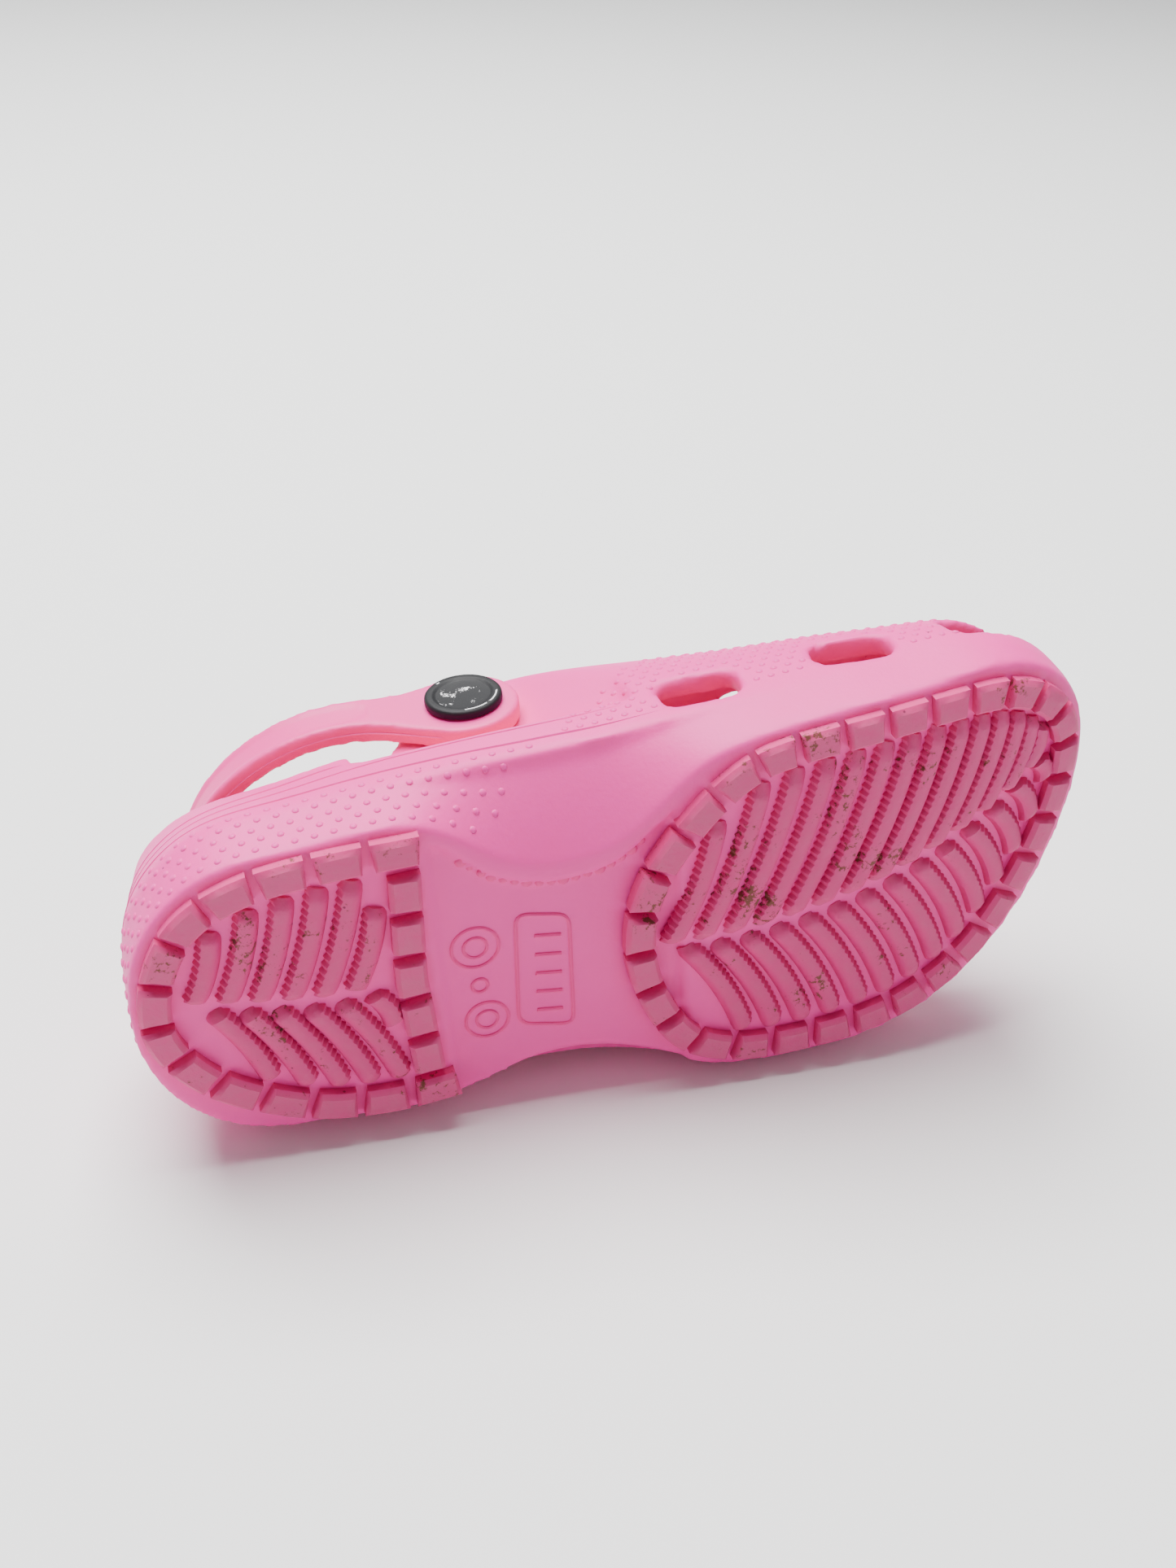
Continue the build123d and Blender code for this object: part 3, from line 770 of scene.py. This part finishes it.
    @staticmethod
    def add_dots(bm: bmesh.types.BMesh, places: Sequence[tuple[Vector, Vector]], radius: float,
                 height: float) -> None:
        """Add low domes standing on the skin.

        Args:
            bm: The bmesh that takes them.
            places: Point and normal of each dome.
            radius: Radius of a dome.
            height: How far it stands up.
        """
        single = bmesh.new()
        bmesh.ops.create_uvsphere(single, u_segments=8, v_segments=6, radius=1.0)
        dome = bpy.data.meshes.new("dome")
        single.to_mesh(dome)
        single.free()
        squash = Matrix.Diagonal((radius, radius, height, 1.0))
        for point, normal in places:
            turn = normal.to_track_quat("Z", "Y").to_matrix().to_4x4()
            copy = dome.copy()
            copy.transform(Matrix.Translation(point - normal * height * 0.15) @ turn @ squash)
            bm.from_mesh(copy)
            bpy.data.meshes.remove(copy)
        bpy.data.meshes.remove(dome)

    def build_nubs(self) -> None:
        """Make the raised dots of the side bands."""
        bm = bmesh.new()
        self.add_dots(bm, self.nub_places(), self.nub_radius, self.nub_height)
        finish_piece("side_nubs", bm, self.finish, "clog_body")

    def build_footbed(self) -> None:
        """Make the raised dots of the footbed."""
        bm = bmesh.new()
        places = []
        for i in range(48):
            for j in range(22):
                x = (-92 + 4.0 * i + (2.0 if j % 2 else 0.0)) * MM
                y = (-38 + 3.5 * j) * MM
                found = self.hit(Vector((x, y, 24 * MM)), Vector((0, 0, -1)), 8 * MM)
                if found and found[1].z > 0.9 and abs(found[0].z - self.footbed_top) < 0.8 * MM:
                    places.append(found)
        self.add_dots(bm, places, 0.95 * MM, 0.45 * MM)
        finish_piece("footbed_nubs", bm, self.finish, "clog_body")

    def build_lines(self) -> None:
        """Make the thin moulding lines that run round the heel and along the sides."""
        bm = bmesh.new()
        loop = self.pattern.rim_loop(680)
        rows: list[tuple[Callable[[float], float], float, float, float]] = [
            (lambda x: 20.4 - 0.035 * max(x + 60, 0.0), -103.0, 12.0, 0.34),
            (lambda x: 26.0 - 0.03 * max(x + 60, 0.0), -103.0, 5.0, 0.26),
            (lambda x: min(31.5, smooth(self.pattern.collar, x / 1.034 + 103.15) * 1.033 - 6.0)
             - 0.02 * max(x + 60, 0.0), -103.0, -6.0, 0.3),
        ]
        for height, low, high, radius in rows:
            for half in (range(0, 340), range(679, 339, -1)):
                run: list[Vector] = []
                for k in half:
                    x = loop[k].x / MM
                    if low <= x <= high:
                        found = self.wall(loop, k, height(x) * MM)
                        if found:
                            run.append(found[0])
                if len(run) > 12:
                    path = even(calm(run), len(run) // 2)
                    fade = [min(1.0, (len(path) - i) / 14) for i in range(len(path))]
                    sweep(bm, path, [radius * MM * share for share in fade], sides=5)
        finish_piece("moulding_lines", bm, self.finish, "clog_body")

    def build_marks(self, finish: bpy.types.Material) -> None:
        """Make the plain raised marks of the underside: a plate frame, rings and a bead row."""
        bm = bmesh.new()
        p = self.pattern

        def on_sole(x: float, y: float) -> Vector:
            """Point of the flat underside at a pattern place."""
            spot = p.at(x, y, 0)
            found = self.hit(Vector((spot.x, spot.y, -5 * MM)), Vector((0, 0, 1)), 24 * MM)
            return found[0] if found else Vector((spot.x, spot.y, p.lug * MM))

        corners = [(78.7, -5.6), (89.2, -2.9), (88.2, 24.6), (77.0, 21.4)]
        frame_line: list[Vector] = []
        for k, (x, y) in enumerate(corners):
            here = Vector((x, y, 0))
            before, after = Vector((*corners[k - 1], 0)), Vector((*corners[(k + 1) % 4], 0))
            a = here + (before - here).normalized() * 2.6
            b = here + (after - here).normalized() * 2.6
            for t in (0.0, 0.25, 0.5, 0.75, 1.0):
                q = a.lerp(here, t).lerp(here.lerp(b, t), t)
                frame_line.append(on_sole(q.x, q.y))
        line = even(frame_line, 90, closed=True)
        sweep(bm, line, [0.42 * MM] * len(line), closed=True)
        for k in range(5):
            y = 0.5 + 4.6 * k
            x0 = 81.0 + 0.25 * (4 - k)
            bar = [on_sole(x0 + 5.2 * t / 5, y + 1.0 * t / 5) for t in range(6)]
            sweep(bm, bar, [0.45 * MM] * 6)
        for x, y, r in ((70.2, 0.2, 4.7), (70.8, 18.4, 4.3), (70.2, 9.6, 1.6)):
            rings = ((r, 36, 0.38), (r * 0.5, 18, 0.36)) if r > 3 else ((r, 36, 0.38),)
            for reach, steps, thick in rings:
                turns = [2 * math.pi * a / steps for a in range(steps)]
                ring = [on_sole(x + reach * math.cos(a), y + reach * math.sin(a)) for a in turns]
                sweep(bm, ring, [thick * MM] * steps, closed=True)
        row = ((69.5, -20.5), (75, -15.8), (82, -12.7), (90, -11.4), (98, -12.6), (104.5, -16.5))
        bead = curve_through([Vector((*v, 0)) for v in row], False)
        for k, spot in enumerate(even(bead, 17)):
            foot = on_sole(spot.x, spot.y)
            found = self.hit(Vector((foot.x, foot.y, -5 * MM)), Vector((0, 0, 1)), 24 * MM)
            if found:
                self.add_dots(bm, [found], (1.0 if k % 3 else 1.25) * MM, 0.42 * MM)
        finish_piece("sole_marks", bm, finish, "clog_body")


# --------------------------------------------------------------------------- treads


@dataclass
class Tread:
    """Edge blocks and slanted bars under the forefoot and the heel."""

    pattern: Pattern
    finish: bpy.types.Material
    depth: float = 6.3
    gap: float = 1.7
    narrow: float = 0.06
    fore_edge: Table = ((199.4, -13), (197, -23.5), (190, -31), (180, -35), (167, -35.8), (150, -35.2),
                        (135, -34), (126, -31.8), (117.5, -26.3), (110, -18.6), (103.6, -9.6), (100, 0.5),
                        (99.6, 12), (103, 25), (109.5, 35.5), (119.5, 41.2), (132, 43.2), (148, 42.8),
                        (163, 39.2), (177, 30.5), (188.5, 16.5), (196.3, 1))
    heel_edge: Table = ((63, -30), (44, -30.2), (28, -28.6), (16, -23), (8.6, -12.3), (6, 0), (8.8, 10.4),
                        (17.5, 21.2), (33, 30.3), (49, 33.6), (64.2, 33.2))
    # places of the slots that start each run of equal blocks, and the blocks in the run
    fore_runs: Sequence[tuple[tuple[float, float], int]] = (
        ((196.6, -25.3), 8), ((126.6, -32.2), 9), ((119.6, 41.8), 6), ((173.8, 33.0), 7))

    def plan(self, table: Table) -> list[Vector]:
        """Row-frame points of a pattern outline, at z = 0."""
        return [self.pattern.at(x, y, 0) for x, y in table]

    def ground(self, x: float) -> float:
        """Height of the ground face at x."""
        return self.pattern.underside(x)

    def root(self, point: Vector) -> float:
        """Height of a shape's hidden side, just inside the sole."""
        return self.pattern.underside(point.x) + (self.pattern.lug + 0.9) * MM

    def block(self, bm: bmesh.types.BMesh, outer: Sequence[Vector], inner: Sequence[Vector]) -> None:
        """One edge block between two matching lines.

        Args:
            bm: The bmesh that takes the block.
            outer: Points of its outer edge.
            inner: As many points of its inner edge.
        """
        cols = len(outer) - 1
        relief(bm, cols, 4, self.block_place(outer, inner, cols), self.root, self.block_wear)

    def block_place(self, outer: Sequence[Vector], inner: Sequence[Vector], cols: int
                    ) -> Callable[[float, float], Vector]:
        """The mapping of a block's grid: a flat face with rolled edges and a slight draft."""

        def place(u: float, v: float) -> Vector:
            """Point of the block's ground side."""
            k = min(int(round(u * cols)), cols)
            share = (0.0, 0.14, 0.5, 0.86, 1.0)[int(round(v * 4))]
            point = outer[k].lerp(inner[k], share)
            rim = int(round(v * 4)) in (0, 4) or k in (0, cols)
            middle = (outer[0] + inner[0] + outer[cols] + inner[cols]) / 4
            if rim:
                point = middle.lerp(point, 1.02)
            drop = 0.95 * MM if rim else 0.0
            point.z = self.ground(point.x) + drop
            return point

        return place

    @staticmethod
    def block_wear(u: float, v: float) -> float:
        """Full wear on a block's face, little on its edges."""
        return 0.25 if min(u, 1 - u, v, 1 - v) < 0.05 else 1.0

    def edge_run(self, bm: bmesh.types.BMesh, line: Sequence[Vector], cuts: Sequence[float],
                 closed: bool, inward: float) -> None:
        """Blocks along an edge line, between cuts.

        Args:
            bm: The bmesh that takes the blocks.
            line: Even points of the edge.
            cuts: Rising positions of the slots, as shares of the line.
            closed: Whether the line is a closed loop.
            inward: +1 or -1, the side of the line that the blocks lie on.
        """
        n = len(line)
        length = sum((line[(i + 1) % n] - line[i]).length for i in range(n if closed else n - 1))
        half = self.gap / 2 * MM / length

        def at(t: float) -> tuple[Vector, Vector]:
            """Point and inward direction at a share of the line."""
            f = (t % 1.0 if closed else min(max(t, 0.0), 1.0)) * (n if closed else n - 1)
            i = int(f)
            a = line[i % n] if closed else line[min(i, n - 1)]
            b = line[(i + 1) % n] if closed else line[min(i + 1, n - 1)]
            c = line[i - 3] if closed else line[max(i - 3, 0)]
            d = line[(i + 4) % n] if closed else line[min(i + 4, n - 1)]
            along = (d - c).normalized()
            return a.lerp(b, f - i), Vector((-along.y, along.x, 0)) * inward

        for start, end in zip(cuts, cuts[1:]):
            lo, hi = start + half, end - half
            stops = [lo, lo + (hi - lo) * 0.1] + [lo + (hi - lo) * s for s in (0.37, 0.63)]
            stops += [hi - (hi - lo) * 0.1, hi]
            outer, inner = [], []
            for t in stops:
                point, way = at(t)
                outer.append(point)
                inner.append(point + way * self.depth * MM)
            inner[0] = inner[0].lerp(inner[-1], self.narrow)
            inner[-1] = inner[-1].lerp(inner[0], self.narrow)
            self.block(bm, outer, inner)

    def bar(self, bm: bmesh.types.BMesh, start: Vector, end: Vector, bow: float, width: float,
            serrated: float) -> None:
        """One slanted bar with a rounded top and a fine-toothed side.

        Args:
            bm: The bmesh that takes the bar.
            start: Its end at the spine.
            end: Its end at the edge blocks.
            bow: Sideways bend of its middle, in metres.
            width: Its width.
            serrated: Depth of its teeth.
        """
        way = end - start
        side = Vector((-way.y, way.x, 0)).normalized()
        columns = max(int(way.length / (0.8 * MM)), 8)

        def place(u: float, v: float) -> Vector:
            """Point of the bar's ground side."""
            centre = start.lerp(end, u) + side * bow * 4 * u * (1 - u)
            tooth = serrated * (1 if int(round(u * columns)) % 2 else -1) * max(0.0, 1 - 2 * v)
            taper = min(1.0, 0.72 + 5 * u) * min(1.0, 0.8 + 6 * (1 - u))
            point = centre + side * ((v - 0.5) * width * taper + tooth)
            edge = abs(2 * v - 1)
            end_drop = 1.9 * max(0.0, 1 - u * 14) + 1.3 * max(0.0, 1 - (1 - u) * 12)
            drop = (0.5 + 2.0 * edge ** 4 + 0.5 * v + end_drop) * MM
            point.z = self.ground(point.x) + min(drop, self.pattern.lug * MM + 0.3 * MM)
            return point

        relief(bm, columns, 6, place, self.root,
               lambda u, v: 0.75 * max(0.0, 1 - abs(2 * v - 0.8) ** 2 * 1.4))

    def build_forefoot(self) -> None:
        """Make the forefoot's blocks and bars."""
        bm = bmesh.new()
        line = even(curve_through(self.plan(self.fore_edge)), 1200, closed=True)
        n = len(line)
        marks = []
        for (x, y), blocks in self.fore_runs:
            spot = self.pattern.at(x, y, 0)
            marks.append((min(range(n), key=lambda k: (line[k] - spot).length) / n, blocks))
        cuts: list[float] = []
        for k, (share, blocks) in enumerate(marks):
            following = marks[(k + 1) % len(marks)][0]
            span = (following - share) % 1.0
            cuts += [share + span * j / blocks for j in range(blocks)]
        base = cuts[0]
        ordered = sorted((c - base) % 1.0 for c in cuts)
        self.edge_run(bm, line, [base + c for c in ordered] + [base + 1.0], True, -1.0)
        spine = curve_through([self.pattern.at(x, y, 0) for x, y in (
            (108.5, 9.4), (114, 10.0), (120, 10.2), (129, 9.7), (137, 8.7), (144, 7.4), (151, 5.6),
            (157, 3.7), (163.6, 1.2), (170, -1.6), (176, -4.6), (181, -7.6), (187, -12.4),
            (191, -15.2))], False)
        nodes = even(spine, 15)
        inner = []
        for i, point in enumerate(line):
            along = (line[(i + 3) % n] - line[i - 3]).normalized()
            inner.append(point + Vector((along.y, -along.x, 0)) * (self.depth + 1.2) * MM)
        for k, node in enumerate(nodes[:-1]):
            middle = node.lerp(nodes[k + 1], 0.5)
            for side, root_point in ((Side.INNER, node), (Side.OUTER, middle)):
                lean = 0.40 if side is Side.INNER else 0.48
                way = Vector((lean, side.value, 0)).normalized()
                start = root_point + way * 0.7 * MM
                end = self.reach(start, way, inner)
                if (end - start).length > 3 * MM:
                    self.bar(bm, start, end, 1.5 * MM * -side.value, 5.0 * MM, 0.26 * MM)
        bmesh.ops.recalc_face_normals(bm, faces=bm.faces[:])
        piece = finish_piece("forefoot_tread_blocks", bm, self.finish, "clog_body")
        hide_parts("forefoot_tread")

    @staticmethod
    def reach(start: Vector, way: Vector, ring: Sequence[Vector]) -> Vector:
        """Where a line from inside a ring meets it."""
        best = start.copy()
        for a, b in zip(ring, list(ring[1:]) + [ring[0]]):
            edge = b - a
            cross = way.x * edge.y - way.y * edge.x
            if abs(cross) < 1e-12:
                continue
            t = ((a.x - start.x) * edge.y - (a.y - start.y) * edge.x) / cross
            s = ((a.x - start.x) * way.y - (a.y - start.y) * way.x) / cross
            if t > 0 and 0 <= s <= 1 and (best == start or t < (best - start).length):
                best = start + way * t
        return best

    def build_heel(self) -> None:
        """Make the heel's blocks and bars."""
        bm = bmesh.new()
        line = even(curve_through(self.plan(self.heel_edge), closed=False), 800)
        cuts = [i / 14 for i in range(15)]
        self.edge_run(bm, line, cuts, False, -1.0)
        corner_in, corner_out = self.pattern.at(61.6, -22.6, 0), self.pattern.at(61.0, 26.2, 0)
        row = even([corner_in, self.pattern.at(60.0, 2, 0), corner_out], 400)
        self.edge_run(bm, row, [k / 5 for k in range(6)], False, 1.0)
        spine = even(curve_through([self.pattern.at(x, y, 0) for x, y in (
            (16, -1.5), (24, 0.6), (31, 2.2), (39, 3.6), (46, 3.8), (51.5, 3.2))], False), 7)
        n = len(line)
        inner = []
        for i in range(n):
            along = (line[min(i + 3, n - 1)] - line[max(i - 3, 0)]).normalized()
            inner.append(line[i] + Vector((along.y, -along.x, 0)) * (self.depth + 1.5) * MM)
        inner = [p for p in inner if p.x < self.pattern.at(52.6, 0, 0).x]
        for k, node in enumerate(spine[:-1]):
            middle = node.lerp(spine[k + 1], 0.5)
            for side, root_point in ((Side.INNER, node), (Side.OUTER, middle)):
                way = Vector((0.36 if side is Side.INNER else 0.44, side.value, 0)).normalized()
                start = root_point + way * 1.1 * MM
                end = self.reach(start, way, inner)
                if (end - start).length > 4 * MM:
                    self.bar(bm, start, end, 1.0 * MM * -side.value, 5.0 * MM, 0.24 * MM)
        bmesh.ops.recalc_face_normals(bm, faces=bm.faces[:])
        piece = finish_piece("heel_tread_blocks", bm, self.finish, "clog_body")
        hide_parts("heel_tread")


# --------------------------------------------------------------------------- strap and rivets


@dataclass
class HeelStrap:
    """The moulded strap loop with its shallow outer recess and edge line."""

    finish: bpy.types.Material
    pivot: Vector = field(default_factory=lambda: Vector((-23.9, -2.5, 46.5)) * MM)
    reach: float = 62.75 * MM
    half_width: float = 31.65 * MM
    lift: float = math.radians(6.0)
    loop: Table = ((-0.19, 1.0), (0.0, 1.0), (0.17, 1.0), (0.34, 1.035), (0.5, 1.02), (0.66, 0.92),
                   (0.81, 0.73), (0.93, 0.45), (0.99, 0.15))

    def line(self) -> list[Vector]:
        """Even centre points of the loop at rest, from the inner ear round to the outer one."""
        flat = [Vector((-share * self.reach, -wide * self.half_width, 0)) for share, wide in self.loop]
        flat += [Vector((p.x, -p.y, 0)) for p in reversed(flat)]
        turn = Matrix.Rotation(self.lift, 4, "Y")
        return [self.pivot + turn @ p for p in even(curve_through(flat, False), 220)]

    def build(self) -> None:
        """Make the strap and its edge lines."""
        bm = merged_solid(["heel_strap"], 0.62 * MM, 3)
        line = self.line()
        span = len(line)
        up = Matrix.Rotation(self.lift, 4, "Y") @ Vector((0, 0, 1))
        for vert in bm.verts:
            k = min(range(0, span, 2), key=lambda i: (line[i] - vert.co).length_squared)
            share = abs(k / (span - 1) - 0.5) * 2
            along = (line[min(k + 1, span - 1)] - line[max(k - 1, 0)]).normalized()
            out = along.cross(up).normalized()
            if out.dot(line[k] - Vector((-0.045, 0, line[k].z))) < 0:
                out = -out
            off = vert.co - line[k]
            if off.dot(out) > 0.9 * MM and share < 0.64:
                across = abs(off.dot(up)) / (3.5 * MM)
                ends = max(0.0, (share - 0.58) / 0.06)
                depth = max(0.0, 1 - (across ** 4 + ends ** 2)) ** 0.5
                vert.co -= out * 0.5 * MM * min(1.0, depth * 1.6)
        bmesh.ops.smooth_vert(bm, verts=bm.verts[:], factor=0.5, use_axis_x=True, use_axis_y=True,
                              use_axis_z=True)
        skin = BVHTree.FromBMesh(bm)
        piece = finish_piece("strap_loop", bm, self.finish, "strap", flat=75)
        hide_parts("heel_strap")
        beads = bmesh.new()
        for way in (up, -up):
            run = []
            for point in line[12:-12]:
                found = skin.ray_cast(point - way * 20 * MM, way, 20 * MM)
                if found[0] is not None:
                    run.append(found[0])
            path = even(calm(run, 7), 120)
            sweep(beads, path, [0.2 * MM] * len(path), sides=5)
        finish_piece("strap_edge_lines", beads, self.finish, "strap")


@dataclass
class SnapRivets:
    """Black two-part snap rivets that hold the strap."""

    finish: bpy.types.Material
    centre: Vector = field(default_factory=lambda: Vector((-23.9, 0.0, 46.5)) * MM)

    def build(self) -> None:
        """Make both rivets from their nodes' boxes."""
        for side, name in ((Side.INNER, "medial"), (Side.OUTER, "lateral")):
            s = side.value
            low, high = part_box(name + "_rivet_head")
            face = low.y if s < 0 else high.y
            tip = high.y if s < 0 else low.y
            radius = (high.z - low.z) / 2
            back = face - s * 1.9 * MM
            head = [(0.0, face - s * 0.42 * MM), (5.6 * MM, face - s * 0.42 * MM),
                    (6.0 * MM, face - s * 0.36 * MM), (6.35 * MM, face - s * 0.05 * MM), (6.7 * MM, face),
                    (radius - 0.75 * MM, face), (radius - 0.35 * MM, face - s * 0.14 * MM),
                    (radius - 0.08 * MM, face - s * 0.45 * MM), (radius, face - s * 0.9 * MM),
                    (radius - 0.05 * MM, back + s * 0.15 * MM), (radius - 0.3 * MM, back), (2.9 * MM, back),
                    (2.9 * MM, tip), (0.0, tip)]
            body = name + "_rivet"
            piece = finish_piece(name + "_rivet_cap", lathe(head, self.centre), self.finish, body,
                                 flat=50)
            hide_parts(name + "_rivet_head")
            low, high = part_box(name + "_rivet_socket")
            top = high.y if s < 0 else low.y
            seat = low.y if s < 0 else high.y
            r = (high.z - low.z) / 2
            cup = [(0.0, top + s * 0.7 * MM), (2.0 * MM, top + s * 0.7 * MM),
                   (2.4 * MM, top + s * 0.1 * MM),
                   (2.8 * MM, top), (r - 1.3 * MM, top), (r - 0.5 * MM, top + s * 0.25 * MM),
                   (r - 0.05 * MM, top + s * 0.85 * MM), (r, seat - s * 0.3 * MM), (r - 0.25 * MM, seat),
                   (0.0, seat)]
            piece = finish_piece(name + "_rivet_cup", lathe(cup, self.centre), self.finish, body,
                                 flat=50)
            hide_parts(name + "_rivet_socket")


# --------------------------------------------------------------------------- stage


@dataclass
class Studio:
    """Pale floor that the clog lies on, soft lights and the camera."""

    floor_normal: Vector = field(default_factory=lambda: Vector((0.10, -0.995, 0.0)).normalized())
    floor_colour: Rgb = (0.87, 0.87, 0.86)
    eye: Vector = field(default_factory=lambda: Vector((-72.6, -225.2, -276.0)) * MM)
    right: Vector = field(default_factory=lambda: Vector((0.962, 0.068, -0.266)))
    up: Vector = field(default_factory=lambda: Vector((0.2, -0.835, 0.513)))
    lens: float = 41.03

    def floor(self) -> None:
        """Lay the floor against the clog's outer side."""
        dg = bpy.context.evaluated_depsgraph_get()
        reach = 1e9
        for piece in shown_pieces():
            mesh = piece.evaluated_get(dg).to_mesh()
            for vert in mesh.vertices:
                reach = min(reach, (piece.matrix_world @ vert.co).dot(self.floor_normal))
        bm = bmesh.new()
        turn = self.floor_normal.to_track_quat("Z", "Y").to_matrix().to_4x4()
        centre = self.floor_normal * (reach - 0.2 * MM)
        place = Matrix.Translation(centre) @ turn
        bmesh.ops.create_grid(bm, x_segments=2, y_segments=2, size=14.0, matrix=place)
        mesh = bpy.data.meshes.new("floor")
        bm.to_mesh(mesh)
        bm.free()
        floor = bpy.data.objects.new("floor", mesh)
        bpy.context.scene.collection.objects.link(floor)
        material = bpy.data.materials.new("floor_paper")
        material.use_nodes = True
        tree = material.node_tree
        shader = tree.nodes["Principled BSDF"]
        shader.inputs["Base Color"].default_value = (*self.floor_colour, 1.0)
        shader.inputs["Roughness"].default_value = 0.75
        clear = tree.nodes.new("ShaderNodeBsdfTransparent")
        mixer = tree.nodes.new("ShaderNodeMixShader")
        facing = tree.nodes.new("ShaderNodeNewGeometry")
        tree.links.new(facing.outputs["Backfacing"], mixer.inputs[0])
        tree.links.new(shader.outputs[0], mixer.inputs[1])
        tree.links.new(clear.outputs[0], mixer.inputs[2])
        tree.links.new(mixer.outputs[0], tree.nodes["Material Output"].inputs["Surface"])
        mesh.materials.append(material)
        floor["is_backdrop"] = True

    def lamp(self, name: str, place: Vector, size: float, power: float) -> None:
        """Hang a square soft light that faces the clog."""
        data = bpy.data.lights.new(name, "AREA")
        data.shape = "SQUARE"
        data.size = size
        data.energy = power
        lamp = bpy.data.objects.new(name, data)
        lamp.location = place
        lamp.rotation_euler = (Vector((0, 0, 0.03)) - place).to_track_quat("-Z", "Y").to_euler()
        bpy.context.scene.collection.objects.link(lamp)

    def build(self) -> None:
        """Make the floor, the lights, the sky and the camera."""
        self.floor()
        n = self.floor_normal
        across = n.cross(Vector((0, 0, 1))).normalized()
        self.lamp("top_light", n * 1.5 + Vector((0, 0, 0.45)) + across * 0.2, size=1.3, power=82.0)
        self.lamp("front_light", n * 0.9 + Vector((0, 0, -1.1)) - across * 0.5, size=1.2, power=1.5)
        self.lamp("back_fill", n * 1.1 + Vector((0, 0, 1.2)), size=1.0, power=6.0)
        world = bpy.context.scene.world or bpy.data.worlds.new("world")
        bpy.context.scene.world = world
        world.use_nodes = True
        sky = world.node_tree.nodes["Background"]
        sky.inputs["Color"].default_value = (0.93, 0.96, 1.0, 1.0)
        sky.inputs["Strength"].default_value = 0.32
        camera = bpy.data.cameras.new("camera")
        camera.lens = self.lens
        camera.sensor_width = 36.0
        camera.sensor_fit = "AUTO"
        camera.clip_start, camera.clip_end = 0.01, 50.0
        eye = bpy.data.objects.new("camera", camera)
        back = self.right.cross(self.up)
        turn = Matrix((self.right, self.up, back)).transposed().to_4x4()
        eye.matrix_world = Matrix.Translation(self.eye) @ turn
        bpy.context.scene.collection.objects.link(eye)
        bpy.context.scene.camera = eye


# --------------------------------------------------------------------------- whole clog


def main() -> None:
    """Build every piece in order and note the sizes."""
    logging.basicConfig(level=logging.INFO, format="%(name)s: %(message)s")
    book = NodeBook()
    pattern = Pattern()
    foam = FoamFinish("pink_foam", base=(0.93, 0.048, 0.37), deep=(0.87, 0.036, 0.30)).build(book)
    sole_foam = FoamFinish("sole_foam", base=(0.86, 0.035, 0.27), deep=(0.80, 0.028, 0.22)).build(book)
    tread_foam = FoamFinish("tread_foam", base=(0.68, 0.026, 0.21), deep=(0.58, 0.018, 0.16), wear=True,
                            dirt_amount=0.335, roughness=0.68, grain=0.35).build(book)
    strap_foam = FoamFinish("strap_foam", base=(0.93, 0.055, 0.34), deep=(0.87, 0.042, 0.28),
                            roughness=0.46, grain=0.10, pit_size=0.012).build(book)
    body = FoamBody(pattern, foam)
    body.build_skin()
    body.build_nubs()
    body.build_footbed()
    body.build_lines()
    body.build_marks(sole_foam)
    tread = Tread(pattern, tread_foam)
    tread.build_forefoot()
    tread.build_heel()
    HeelStrap(strap_foam).build()
    SnapRivets(RivetFinish().build(book)).build()
    Studio().build()


if __name__ == "__main__":
    main()
